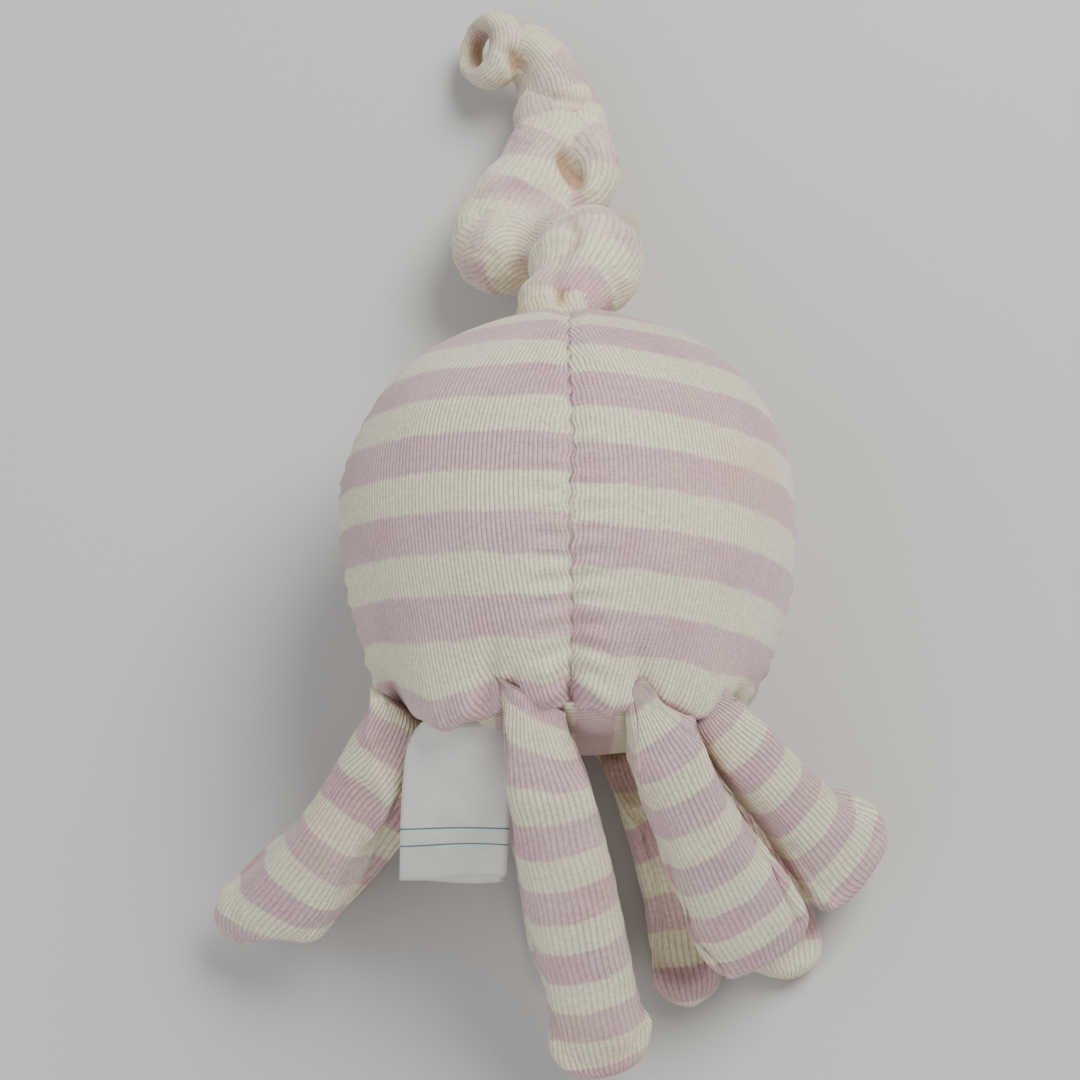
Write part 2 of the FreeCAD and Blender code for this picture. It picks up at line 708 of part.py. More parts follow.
def housing_cover():
    """The lid, whose skirt fits round the cup."""
    plate = cylinder((0, 0), CEILING_Z, UNIT_RADIUS, COVER_THICKNESS)
    skirt = tube_ring(
        (0, 0),
        CEILING_Z - COVER_SKIRT_HEIGHT,
        UNIT_RADIUS,
        HOUSING_RADIUS + COVER_FIT,
        COVER_SKIRT_HEIGHT,
    )
    head_z = UNIT_TOP_Z - SCREW_HEAD_HEIGHT - SCREW_FIT
    openings = []
    for centre in screw_centres():
        openings.append(cylinder(centre, CEILING_Z, SCREW_SHANK_RADIUS + SCREW_FIT, COVER_THICKNESS))
        openings.append(cylinder(centre, head_z, SCREW_HEAD_RADIUS + SCREW_FIT, COVER_THICKNESS))
    return largest_solid(cut_all(plate.fuse(skirt), axle_sockets() + openings))


def housing_screws():
    screws = []
    head_z = UNIT_TOP_Z - SCREW_HEAD_HEIGHT
    for centre in screw_centres():
        shank = cylinder(centre, head_z - SCREW_LENGTH, SCREW_SHANK_RADIUS, SCREW_LENGTH)
        head = cylinder(centre, head_z, SCREW_HEAD_RADIUS, SCREW_HEAD_HEIGHT)
        slot = box_between(
            (centre[0] - SCREW_HEAD_RADIUS, centre[1] - 0.25, UNIT_TOP_Z - 0.5),
            (centre[0] + SCREW_HEAD_RADIUS, centre[1] + 0.25, UNIT_TOP_Z),
        )
        screws.append(shank.fuse(head).cut(slot))
    return Part.makeCompound(screws)


def cord_bush():
    """The smooth eyelet that the cord leaves the housing through."""
    wall_inside = HOUSING_RADIUS - HOUSING_WALL
    body = Part.makeCylinder(
        BUSH_BODY_RADIUS,
        HOUSING_WALL + STUFFING_CLEARANCE,
        Vector(0, wall_inside, CORD_Z),
        Vector(0, 1, 0),
    )
    flange = Part.makeCylinder(
        BUSH_FLANGE_RADIUS,
        BUSH_FLANGE_THICKNESS,
        Vector(0, HOUSING_RADIUS + 0.1, CORD_Z),
        Vector(0, 1, 0),
    )
    bore = Part.makeCylinder(
        BUSH_BORE_RADIUS, 4 * HOUSING_WALL, Vector(0, wall_inside - 1, CORD_Z), Vector(0, 1, 0)
    )
    return body.fuse(flange).cut(bore)


# ---------------------------------------------------------------- the whole toy
def build():
    pieces = head_covers()
    pieces["head_stuffing"] = head_stuffing()
    pieces["eye_left"] = eye(-1)
    pieces["eye_right"] = eye(1)
    pieces["mouth_stitching"] = mouth()
    pieces["woven_label"] = label_leaf(0, 0)
    pieces["under_label"] = label_leaf(UNDER_LABEL_DROP, UNDER_LABEL_EXTRA)
    pieces["pull_sleeve"] = pull_sleeve()
    pieces["sleeve_tab"] = sleeve_tab()
    pieces["pull_cord"] = pull_cord()
    pieces["hang_loop"] = hang_loop()
    pieces["cord_knot"] = cord_knot()
    pieces["housing_base"] = housing_base()
    pieces["housing_cover"] = housing_cover()
    pieces["housing_screws"] = housing_screws()
    pieces["cord_bush"] = cord_bush()
    for name, centre in AXLE_CENTRES.items():
        pieces[name] = axle(centre)
    pieces["mainspring"] = mainspring()
    pieces["cord_drum"] = cord_drum()
    pieces["cord_coil"] = cord_coil()
    pieces["idler_gear"] = idler_gear()
    pieces["rotor_pinion"] = rotor_pinion()
    pieces["rotor_weight"] = rotor_weight()
    for name in LEGS:
        pieces.update(leg_pieces(name))
    return pieces


def main():
    os.makedirs("parts", exist_ok=True)
    pieces = build()
    for name, shape in pieces.items():
        shape.exportStep("parts/" + name + ".step")
    return pieces


PIECES = main()
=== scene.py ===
import math

import bpy
import numpy as np
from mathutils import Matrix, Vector, noise
from mathutils.bvhtree import BVHTree


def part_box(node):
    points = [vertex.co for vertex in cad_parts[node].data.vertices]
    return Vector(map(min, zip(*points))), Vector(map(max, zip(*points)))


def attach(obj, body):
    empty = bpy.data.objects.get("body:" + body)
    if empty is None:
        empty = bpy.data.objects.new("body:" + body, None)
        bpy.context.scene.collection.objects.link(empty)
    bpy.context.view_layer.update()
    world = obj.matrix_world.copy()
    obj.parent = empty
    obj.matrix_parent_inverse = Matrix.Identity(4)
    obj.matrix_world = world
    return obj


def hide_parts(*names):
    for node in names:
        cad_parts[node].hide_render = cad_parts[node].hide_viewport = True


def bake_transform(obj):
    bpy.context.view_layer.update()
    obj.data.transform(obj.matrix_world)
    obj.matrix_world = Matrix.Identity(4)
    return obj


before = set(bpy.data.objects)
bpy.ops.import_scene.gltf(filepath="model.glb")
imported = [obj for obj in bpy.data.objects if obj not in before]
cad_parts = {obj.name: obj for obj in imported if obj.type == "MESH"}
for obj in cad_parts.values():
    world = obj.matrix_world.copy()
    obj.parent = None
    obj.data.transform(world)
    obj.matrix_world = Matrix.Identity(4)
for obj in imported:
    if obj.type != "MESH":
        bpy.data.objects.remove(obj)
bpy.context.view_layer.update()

# Lengths are in metres and angles in degrees, in the frame of the CAD model:
# +Z is up from the table, and +Y runs from the legs to the hanging loop.
MM = 0.001

# ---- places read from the frame
FACE_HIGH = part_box("face_panel")[1]
BACK_LOW, BACK_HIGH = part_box("back_panel_left")
BASE_LOW, BASE_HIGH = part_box("base_panel")
AXIS_Z = FACE_HIGH[2]
HEAD_RADIUS = -BACK_LOW[0]
HEAD_TOP_Y = BACK_HIGH[1]
BASE_SEAM_Y = BASE_HIGH[1]
BASE_SEAM_RADIUS = BASE_HIGH[0]
BASE_BULGE_Y = BASE_LOW[1]

# ---- knit
WALE = 1.16 * MM                 # width of one upright rib of the knit
COURSE = 0.95 * MM               # height of one row of stitches
STRIPE = 19.6 * MM               # one cream band and one lilac band
KNIT_THICKNESS = 1.2 * MM
CLOTH_SCALE = 10
CLOTH_FRAMES = 20
TABLE_GAP = 0.3 * MM             # the soft pieces' undersides stay this far above the table
CREAM = (0.86, 0.79, 0.58)
LILAC = (0.66, 0.43, 0.46)
# the warm brown of the painted shade in creases
CREASE_SHADE_BROWN = (0.40, 0.24, 0.15)

# ---- head
HEAD_OUTLINE = (                 # (share of the crown's Y, share of the radius), crown to base
    (1.0, 0.10),
    (0.956, 0.238),
    (0.868, 0.476),
    (0.719, 0.714),
    (0.474, 0.900),
    (0.123, 0.994),
    (-0.263, 0.977),
    (-0.596, 0.882),
    (-0.800, 0.775),
)
HEAD_COLUMNS = 144               # a multiple of 4, so that the seams fall on columns
SEAM_COLUMNS = (0, HEAD_COLUMNS // 4, HEAD_COLUMNS // 2)
HEAD_ROWS = 64
HEAD_SWELL = 1.6 * MM
HEAD_LILAC = 82.0 * MM           # along the cover, from the crown to the middle of a lilac band
HEAD_FLOOR = 0.8 * MM            # the cover's underside, above the embroidery's
FLOOR_SOFTNESS = 4.0 * MM
STUFFING_LUMP = 1.1 * MM
SEAM_DEPTH = 0.95 * MM
SEAM_WIDTH = 2.6 * MM
PUCKER_PITCH = 5.2 * MM
PUCKER_REACH = 6.5 * MM
PUCKER_HEIGHT = 0.6 * MM
GATHER_HEIGHT = 0.5 * MM         # of the fine gathers along the base seam
HEAD_DARTS = (-0.34 * HEAD_RADIUS, 0.29 * HEAD_RADIUS)
DART_LENGTH = 20 * MM
DART_DEPTH = 2.0 * MM
DART_WIDTH = 2.2 * MM
BASE_RINGS = 18
BASE_COLUMNS = 96
WADDING_GAP = 4.4 * MM           # from the cover's outside to the wadding
UNIT_CLEARANCE = 1.5 * MM

# name: columns of the head's grid from and to, middle of the panel in degrees, and how far its
# stripes are shifted towards the crown along its first and last columns
HEAD_PANELS = {
    "back_panel_right": (SEAM_COLUMNS[0], SEAM_COLUMNS[1], 45, -5.0 * MM, -0.3 * MM),
    "back_panel_left": (SEAM_COLUMNS[1], SEAM_COLUMNS[2], 135, 2.0 * MM, 7.5 * MM),
    "face_panel": (SEAM_COLUMNS[2], HEAD_COLUMNS, 270, 1.2 * MM, 1.2 * MM),
}
# how far the cover hangs over the base seam, in shares, at angles round it
HEAD_OVERHANG = (
    (0, 0.30), (26, 0.0), (45, 0.55), (62, 0.10), (78, 0.60),
    (89, -0.15), (98, 0.45), (108, 0.15), (132, 1.0), (157, 0.0),
    (180, 0.30), (202, 0.0), (225, 0.12), (248, 0.0), (270, 0.12),
    (292, 0.0), (315, 0.12), (337, 0.0), (360, 0.30),
)
OVERHANG_DROP = 8.5 * MM
OVERHANG_SWELL = 2.6 * MM
OVERHANG_REACH = 4.5 * MM


def smooth_line(points, count):
    """Evenly spaced points on a smooth line through the given ones."""
    points = np.array(points, float)
    padded = np.vstack([2 * points[0] - points[1], points, 2 * points[-1] - points[-2]])
    dense = []
    for a, b, c, d in zip(padded, padded[1:], padded[2:], padded[3:]):
        for t in np.linspace(0, 1, 24, endpoint=False):
            curve = 2 * b + (c - a) * t
            curve += (2 * a - 5 * b + 4 * c - d) * t**2
            curve += (3 * b - a - 3 * c + d) * t**3
            dense.append(0.5 * curve)
    dense.append(points[-1])
    dense = np.array(dense)
    steps = np.linalg.norm(np.diff(dense[:, :3], axis=0), axis=1)
    lengths = np.concatenate([[0], np.cumsum(steps)])
    places = np.linspace(0, lengths[-1], count)
    return np.stack([np.interp(places, lengths, column) for column in dense.T], 1)


def turns(count, closed=False):
    """Evenly spaced angles round a circle, in radians, with the first again if closed."""
    return np.arange(count + closed) * 2 * math.pi / count


def soft_noise(point, scale, seed):
    """Smooth noise from about -1 to 1 at a point, with features about scale across."""
    shift = Vector((seed * 7.3, seed * 3.1, -seed * 5.7))
    return noise.noise(Vector(point) / scale + shift)


def smooth_step(values, low, high):
    """0 below low, 1 above high, and a soft step between."""
    t = np.clip((np.asarray(values) - low) / (high - low), 0, 1)
    return t * t * (3 - 2 * t)


# ---- mesh building
def new_object(name, data):
    obj = bpy.data.objects.new(name, data)
    bpy.context.scene.collection.objects.link(obj)
    return obj


def mesh_object(name, points, faces, corner_uv=None):
    mesh = bpy.data.meshes.new(name)
    mesh.from_pydata([tuple(p) for p in points], [], faces)
    if corner_uv is not None:
        layer = mesh.uv_layers.new(name="knit")
        layer.data.foreach_set("uv", np.array(corner_uv, float).ravel())
    mesh.polygons.foreach_set("use_smooth", [True] * len(mesh.polygons))
    mesh.update()
    return new_object(name, mesh)


def cap_faces(columns, row):
    """Faces that close a ring of points, straight across it."""
    faces = []
    for j in range(columns // 2):
        ring = [j, j + 1, columns - 1 - j, (columns - j) % columns]
        ring = list(dict.fromkeys(ring))
        if len(ring) > 2:
            faces.append([row * columns + index for index in ring])
    return faces


def grid_mesh(name, rows, u, v, closed=True, cap_first=False, cap_last=False):
    """A mesh from rows of points. u and v have one column more than the points if rows close."""
    rows = np.array(rows, float)
    count, columns = rows.shape[:2]
    faces = []
    corner_uv = []
    for i in range(count - 1):
        for j in range(columns if closed else columns - 1):
            k = (j + 1) % columns
            low = i * columns
            high = low + columns
            faces.append((low + j, low + k, high + k, high + j))
            for a, b in ((i, j), (i, j + 1), (i + 1, j + 1), (i + 1, j)):
                corner_uv.append((u[a][b], v[a][b]))
    if cap_first:
        for face in cap_faces(columns, 0):
            faces.append(face[::-1])
            corner_uv += [(u[0][index], v[0][index]) for index in face[::-1]]
    if cap_last:
        for face in cap_faces(columns, count - 1):
            faces.append(face)
            corner_uv += [(u[-1][index % columns], v[-1][index % columns]) for index in face]
    return mesh_object(name, rows.reshape(-1, 3), faces, corner_uv)


def vectors_of(items, key):
    values = np.empty(len(items) * 3)
    items.foreach_get(key, values)
    return values.reshape(-1, 3)


def points_of(obj):
    return vectors_of(obj.data.vertices, "co")


def set_points(obj, points):
    obj.data.vertices.foreach_set("co", np.ascontiguousarray(points, float).ravel())
    obj.data.update()


def normals_of(obj):
    return vectors_of(obj.data.vertex_normals, "vector")


def apply_modifiers(obj):
    bpy.context.view_layer.update()
    graph = bpy.context.evaluated_depsgraph_get()
    mesh = bpy.data.meshes.new_from_object(obj.evaluated_get(graph))
    obj.modifiers.clear()
    old = obj.data
    obj.data = mesh
    bpy.data.meshes.remove(old)


def subdivide(obj):
    modifier = obj.modifiers.new("smooth", "SUBSURF")
    modifier.levels = 1
    modifier.render_levels = 1
    apply_modifiers(obj)


def thicken(obj, thickness):
    """Gives a sheet its thickness, inwards, so that it is a closed piece."""
    modifier = obj.modifiers.new("thickness", "SOLIDIFY")
    modifier.thickness = thickness
    modifier.offset = -1
    apply_modifiers(obj)


def join(obj, others):
    with bpy.context.temp_override(active_object=obj, selected_editable_objects=[obj, *others]):
        bpy.ops.object.join()


def remesh(obj, voxel):
    modifier = obj.modifiers.new("remesh", "REMESH")
    modifier.mode = "VOXEL"
    modifier.voxel_size = voxel
    modifier.use_smooth_shade = True
    apply_modifiers(obj)


def relax(points, obj, rounds, share=0.5):
    """Evens a mesh out by moving each point towards its neighbours."""
    edges = np.empty(len(obj.data.edges) * 2, int)
    obj.data.edges.foreach_get("vertices", edges)
    edges = edges.reshape(-1, 2)
    count = np.bincount(edges.ravel(), minlength=len(points))[:, None]
    for _ in range(rounds):
        total = np.zeros_like(points)
        np.add.at(total, edges[:, 0], points[edges[:, 1]])
        np.add.at(total, edges[:, 1], points[edges[:, 0]])
        points = points + share * (total / count - points)
    return points


def copy_of(obj, name):
    return new_object(name, obj.data.copy())


def paint(obj, material):
    obj.data.materials.clear()
    obj.data.materials.append(material)


def inflate(obj, pressure, cap, pins, extra_cloth):
    """Blows a sewn shape up as cloth, and keeps the result, no point having moved over cap.

    The shape is simulated CLOTH_SCALE times as large, because Blender's cloth is tuned to
    garments. pins are (index, weight) pairs that hold the seams.
    """
    start = points_of(obj)
    set_points(obj, start * CLOTH_SCALE)
    group = obj.vertex_groups.new(name="pins")
    for index, weight in pins:
        group.add([index], weight, "REPLACE")
    modifier = obj.modifiers.new("cloth", "CLOTH")
    settings = modifier.settings
    settings.quality = 5
    settings.mass = 0.3
    settings.tension_stiffness = 15
    settings.compression_stiffness = 15
    settings.shear_stiffness = 5
    settings.bending_stiffness = 0.5
    settings.use_pressure = True
    settings.uniform_pressure_force = pressure
    settings.effector_weights.gravity = 0.0
    settings.vertex_group_mass = "pins"
    settings.shrink_min = -extra_cloth
    modifier.collision_settings.use_collision = False
    scene = bpy.context.scene
    for step in range(1, CLOTH_FRAMES + 1):
        scene.frame_set(step)
    graph = bpy.context.evaluated_depsgraph_get()
    moved = points_of(obj.evaluated_get(graph)) / CLOTH_SCALE - start
    obj.modifiers.remove(modifier)
    obj.vertex_groups.clear()
    scene.frame_set(1)
    far = np.linalg.norm(moved, axis=1, keepdims=True)
    moved *= np.minimum(1.0, cap / np.maximum(far, 1e-9))
    set_points(obj, start + moved)


# ---- materials
class Nodes:
    """Short calls that build one material's nodes."""

    def __init__(self, name):
        self.material = bpy.data.materials.new(name)
        self.material.use_nodes = True
        self.tree = self.material.node_tree
        self.shader = self.tree.nodes["Principled BSDF"]

    def add(self, kind, **settings):
        node = self.tree.nodes.new(kind)
        for key, value in settings.items():
            setattr(node, key, value)
        return node

    def feed(self, socket, value):
        if isinstance(value, bpy.types.NodeSocket):
            self.tree.links.new(value, socket)
        elif isinstance(value, tuple) and len(value) == 3 and socket.type == "RGBA":
            socket.default_value = (*value, 1.0)
        else:
            socket.default_value = value

    def math(self, operation, a, b=0.0):
        node = self.add("ShaderNodeMath", operation=operation)
        self.feed(node.inputs[0], a)
        self.feed(node.inputs[1], b)
        return node.outputs[0]

    def times(self, a, b):
        return self.math("MULTIPLY", a, b)

    def plus(self, a, b):
        return self.math("ADD", a, b)

    def less(self, a, b):
        return self.math("SUBTRACT", a, b)

    def wave(self, value, length):
        """A sine along value, with this wavelength."""
        return self.math("SINE", self.times(value, 2 * math.pi / length))

    def mix(self, share, a, b, how="MIX"):
        node = self.add("ShaderNodeMix", data_type="RGBA", blend_type=how)
        self.feed(node.inputs[0], share)
        self.feed(node.inputs[6], a)
        self.feed(node.inputs[7], b)
        return node.outputs[2]

    def ramp(self, value, low, high, to_low=0.0, to_high=1.0):
        node = self.add("ShaderNodeMapRange", interpolation_type="SMOOTHSTEP")
        for index, given in enumerate((value, low, high, to_low, to_high)):
            self.feed(node.inputs[index], given)
        return node.outputs[0]

    def grey(self, value):
        node = self.add("ShaderNodeCombineColor")
        for index in range(3):
            self.feed(node.inputs[index], value)
        return node.outputs[0]

    def shade(self, colour, share):
        """colour made darker or lighter by a share."""
        return self.mix(1.0, colour, self.grey(share), "MULTIPLY")

    def place(self):
        return self.add("ShaderNodeTexCoord").outputs["Object"]

    def noise(self, scale, detail=3.0, vector=None):
        node = self.add("ShaderNodeTexNoise")
        self.feed(node.inputs["Vector"], vector or self.place())
        node.inputs["Scale"].default_value = scale
        node.inputs["Detail"].default_value = detail
        return node.outputs[0]

    def uv(self):
        parts = self.add("ShaderNodeSeparateXYZ")
        self.feed(parts.inputs[0], self.add("ShaderNodeUVMap", uv_map="knit").outputs[0])
        return parts.outputs[0], parts.outputs[1]

    def bump(self, height, distance, strength=1.0):
        node = self.add("ShaderNodeBump")
        node.inputs["Strength"].default_value = strength
        node.inputs["Distance"].default_value = distance
        self.feed(node.inputs["Height"], height)
        self.tree.links.new(node.outputs[0], self.shader.inputs["Normal"])

    def set(self, **values):
        for key, value in values.items():
            self.feed(self.shader.inputs[key.replace("_", " ")], value)


def knit_material(name, stripe_middle, plain=False, fade=0.78, relief=0.5 * MM):
    """Striped knit. stripe_middle is where along the cloth a lilac band has its middle.

    fade is how much of the lilac is left where it has worn off most, and relief is how far
    the ribs stand out.
    """
    n = Nodes(name)
    across, along = n.uv()
    wander = n.times(n.less(n.noise(45.0, 1.0), 0.5), 1.6 * MM)
    across = n.plus(across, wander)
    wale = n.math("DIVIDE", across, WALE)
    side = n.math("ABSOLUTE", n.less(n.math("FRACT", wale), 0.5))
    side = n.times(side, 2.0)
    hair = n.noise(1500.0, 2.0)

    # the two slanting strands of each stitch
    slant = n.plus(n.math("DIVIDE", along, COURSE), n.times(side, 0.6))
    loop = n.plus(n.times(n.wave(slant, 1.0), 0.5), 0.5)
    crown = n.less(1.0, n.math("POWER", side, 2.4))
    height = n.plus(n.times(crown, 0.62), n.times(loop, 0.10))
    height = n.plus(height, n.times(hair, 0.40))

    # stripes, with an edge that steps from stitch to stitch
    wobble = n.times(n.less(n.noise(130.0, 2.0), 0.5), 1.8 * MM)
    tooth = n.times(side, 0.4 * MM)
    place = n.less(n.plus(n.plus(along, wobble), tooth), stripe_middle)
    wave = n.math("COSINE", n.times(place, 2 * math.pi / STRIPE))
    lilac = n.ramp(wave, -0.20, 0.16)
    worn = n.noise(60.0, 3.0)
    lilac = n.times(lilac, n.ramp(worn, 0.3, 0.65, 1.0, fade))
    colour = n.mix(lilac, CREAM, LILAC)

    # yarn: heathered and yellowed here and there, with painted shade in the grooves between the
    # ribs
    heather = n.ramp(n.noise(900.0, 3.0), 0.3, 0.7, 0.88, 1.08)
    colour = n.shade(colour, heather)
    # painted shade between the ribs, deeper in some places than in others
    groove_shade_strength = n.ramp(n.noise(38.0, 2.0), 0.35, 0.65, 0.68, 0.88)
    groove_shade = n.ramp(side, 0.55, 1.0, 1.0, groove_shade_strength)
    colour = n.shade(colour, groove_shade)
    yellow = n.ramp(n.noise(26.0, 3.0), 0.5, 0.72, 0.0, 0.35)
    colour = n.mix(yellow, colour, n.mix(1.0, colour, (1.0, 0.92, 0.76), "MULTIPLY"))
    if not plain:
        colour = n.mix(rust_stain(n), colour, (0.74, 0.42, 0.24))

    # painted shade: creases that ambient occlusion finds are darkened towards a warm brown
    shade = n.add("ShaderNodeAmbientOcclusion", samples=6)
    shade.inputs["Distance"].default_value = 7 * MM
    deep = n.ramp(shade.outputs["AO"], 0.25, 0.72, 0.85, 0.0)
    colour = n.mix(deep, colour, n.mix(1.0, colour, CREASE_SHADE_BROWN, "MULTIPLY"))
    # painted shade along the pressed folds, read from the point attribute that the knit skins get
    crease_shade_share = n.add("ShaderNodeAttribute", attribute_name="crease_shade").outputs["Fac"]
    crease_shade_share = n.math("MINIMUM", n.times(crease_shade_share, 1.6), 0.85)
    colour = n.mix(crease_shade_share, colour, CREASE_SHADE_BROWN)

    n.set(Base_Color=colour, Roughness=0.92, Specular_IOR_Level=0.12)
    n.set(Sheen_Weight=0.35, Sheen_Roughness=0.5)
    n.bump(height, relief, 0.85)
    return n.material


def rust_stain(n):
    """How much of a faint stain shows on the right of the head's back."""
    middle = Vector((0.80 * HEAD_RADIUS, 0.10 * HEAD_TOP_Y, AXIS_Z + 0.6 * HEAD_RADIUS))
    away = n.add("ShaderNodeVectorMath", operation="DISTANCE")
    n.feed(away.inputs[0], n.place())
    n.feed(away.inputs[1], tuple(middle))
    ragged = n.times(n.noise(120.0, 3.0), 12 * MM)
    reach = n.plus(away.outputs["Value"], ragged)
    return n.ramp(reach, 8 * MM, 22 * MM, 0.30, 0.0)


def filling_material():
    n = Nodes("polyester_wadding")
    fluff = n.noise(420.0, 6.0)
    n.set(Base_Color=n.mix(fluff, (0.78, 0.78, 0.76), (0.93, 0.93, 0.91)), Roughness=0.95)
    n.set(Sheen_Weight=0.5)
    n.bump(fluff, 0.8 * MM)
    return n.material


def thread_material(name, colour, dark):
    """Satin stitches, close side by side."""
    n = Nodes(name)
    wave = n.add("ShaderNodeTexWave", wave_type="BANDS", bands_direction="Y")
    n.feed(wave.inputs["Vector"], n.place())
    wave.inputs["Scale"].default_value = 380.0
    wave.inputs["Distortion"].default_value = 1.2
    strand = wave.outputs["Fac"]
    n.set(Base_Color=n.mix(strand, dark, colour), Roughness=0.42, Sheen_Weight=0.2)
    n.bump(strand, 0.2 * MM)
    return n.material


def ribbon_material(name, shaded, light, line_colour):
    """A woven satin ribbon, plain but for two fine woven lines."""
    n = Nodes(name)
    across, along = n.uv()
    warp = n.wave(across, 0.42 * MM)
    weft = n.wave(along, 0.50 * MM)
    weave = n.plus(n.times(n.times(warp, weft), 0.5), 0.5)
    colour = n.mix(weave, shaded, light)
    lines = n.ramp(n.wave(along, 6.0 * MM), 0.93, 0.97)
    low = n.ramp(along, 27.5 * MM, 28.0 * MM)
    high = n.ramp(along, 40.0 * MM, 40.5 * MM, 1.0, 0.0)
    colour = n.mix(n.times(lines, n.times(low, high)), colour, line_colour)
    cloudy = n.ramp(n.noise(70.0, 3.0), 0.35, 0.75, 0.9, 1.05)
    n.set(Base_Color=n.shade(colour, cloudy), Roughness=0.5)
    n.set(Sheen_Weight=0.15, Specular_IOR_Level=0.35)
    n.bump(weave, 0.12 * MM)
    return n.material


def braid_material():
    n = Nodes("braided_polyester")
    braid = n.add("ShaderNodeTexWave", wave_type="BANDS", bands_direction="DIAGONAL")
    n.feed(braid.inputs["Vector"], n.place())
    braid.inputs["Scale"].default_value = 420.0
    strand = braid.outputs["Fac"]
    n.set(Base_Color=n.mix(strand, (0.62, 0.60, 0.55), (0.86, 0.85, 0.80)), Roughness=0.6)
    n.bump(strand, 0.15 * MM)
    return n.material


def moulded_material(name, colour, roughness):
    """Moulded plastic with a fine spark-eroded grain."""
    n = Nodes(name)
    grain = n.noise(2200.0, 3.0)
    cloud = n.noise(60.0, 2.0)
    darker = tuple(0.86 * channel for channel in colour)
    n.set(Base_Color=n.mix(cloud, darker, colour))
    n.set(Roughness=n.ramp(grain, 0.3, 0.7, roughness - 0.08, roughness + 0.1))
    n.bump(grain, 0.03 * MM)
    return n.material


def metal_material(name, colour, roughness, stretch):
    """Drawn or stamped steel, with fine scratches along one way."""
    n = Nodes(name)
    mapping = n.add("ShaderNodeMapping")
    n.feed(mapping.inputs["Vector"], n.place())
    mapping.inputs["Scale"].default_value = (1.0, stretch, 1.0)
    scratch = n.noise(1600.0, 4.0, mapping.outputs[0])
    darker = tuple(0.7 * channel for channel in colour)
    n.set(Base_Color=n.mix(scratch, darker, colour), Metallic=1.0)
    n.set(Roughness=n.ramp(scratch, 0.25, 0.75, roughness - 0.1, roughness + 0.12))
    n.bump(scratch, 0.01 * MM)
    return n.material


MATERIALS = {
    "polyester_filling": filling_material(),
    "embroidery_thread": thread_material(
        "black_satin_stitch", (0.06, 0.05, 0.05), (0.01, 0.01, 0.01)
    ),
    "label_ribbon": ribbon_material(
        "label_satin", (0.84, 0.82, 0.76), (0.95, 0.94, 0.90), (0.10, 0.30, 0.32)
    ),
    "braided_cord": braid_material(),
    "housing_plastic": moulded_material("white_housing_plastic", (0.80, 0.80, 0.77), 0.45),
    "gear_plastic": moulded_material("natural_gear_plastic", (0.87, 0.84, 0.74), 0.35),
    "bright_steel": metal_material("bright_axle_steel", (0.66, 0.66, 0.68), 0.25, 0.1),
    "spring_steel": metal_material("blued_spring_steel", (0.32, 0.34, 0.38), 0.32, 0.05),
    "weight_steel": metal_material("zinc_weight_steel", (0.55, 0.56, 0.58), 0.4, 0.3),
}
TAB_TAPE = ribbon_material("tab_tape", (0.60, 0.54, 0.38), (0.74, 0.68, 0.50), (0.74, 0.68, 0.50))
HEAD_KNIT = knit_material("striped_knit_head", HEAD_LILAC)
BASE_KNIT = knit_material("striped_knit_base", 0.16 * BASE_SEAM_RADIUS, plain=True)
LEG_KNIT = knit_material("striped_knit_leg", 0.0, plain=True)
SLEEVE_KNIT = knit_material("striped_knit_sleeve", 0.0, plain=True, fade=0.18, relief=0.3 * MM)


# ---- head
def head_profile():
    """Rows of (Y, radius) from the crown to the base seam, and the way along the cover."""
    line = [(share_y * HEAD_TOP_Y, share_r * HEAD_RADIUS) for share_y, share_r in HEAD_OUTLINE]
    line.append((BASE_SEAM_Y, BASE_SEAM_RADIUS))
    rows = smooth_line([(y, radius, 0.0) for y, radius in line], HEAD_ROWS)
    steps = np.linalg.norm(np.diff(rows, axis=0), axis=1)
    return rows[:, :2], np.concatenate([[0], np.cumsum(steps)])


def rest_on_face(points):
    """Presses the lowest part flat, as the head's own weight does."""
    points = np.array(points, float)
    above = points[..., 2] - HEAD_FLOOR
    points[..., 2] = HEAD_FLOOR + 0.5 * (above + np.sqrt(above**2 + FLOOR_SOFTNESS**2 / 4))
    return points


def head_rows(inset=0.0, columns=HEAD_COLUMNS):
    """Rings of the stuffed head from the crown to the base seam, as it rests on its face."""
    profile, _ = head_profile()
    angles = turns(columns)
    rows = []
    for y, radius in profile:
        radius -= inset * min(1.0, radius / (0.3 * HEAD_RADIUS))
        y -= inset * (y / HEAD_TOP_Y)
        rows.append([(radius * math.cos(a), y, AXIS_Z + radius * math.sin(a)) for a in angles])
    rows = rest_on_face(rows)
    for row in rows:
        for point in row:
            out = point - np.array((0, 0.2 * point[1], AXIS_Z))
            out /= max(np.linalg.norm(out), 1e-6)
            lump = soft_noise(point, 26 * MM, 1) + 0.5 * soft_noise(point, 11 * MM, 2)
            point += out * lump * STUFFING_LUMP * min(1.0, (point[2] - HEAD_FLOOR) / (8 * MM))
    return rows


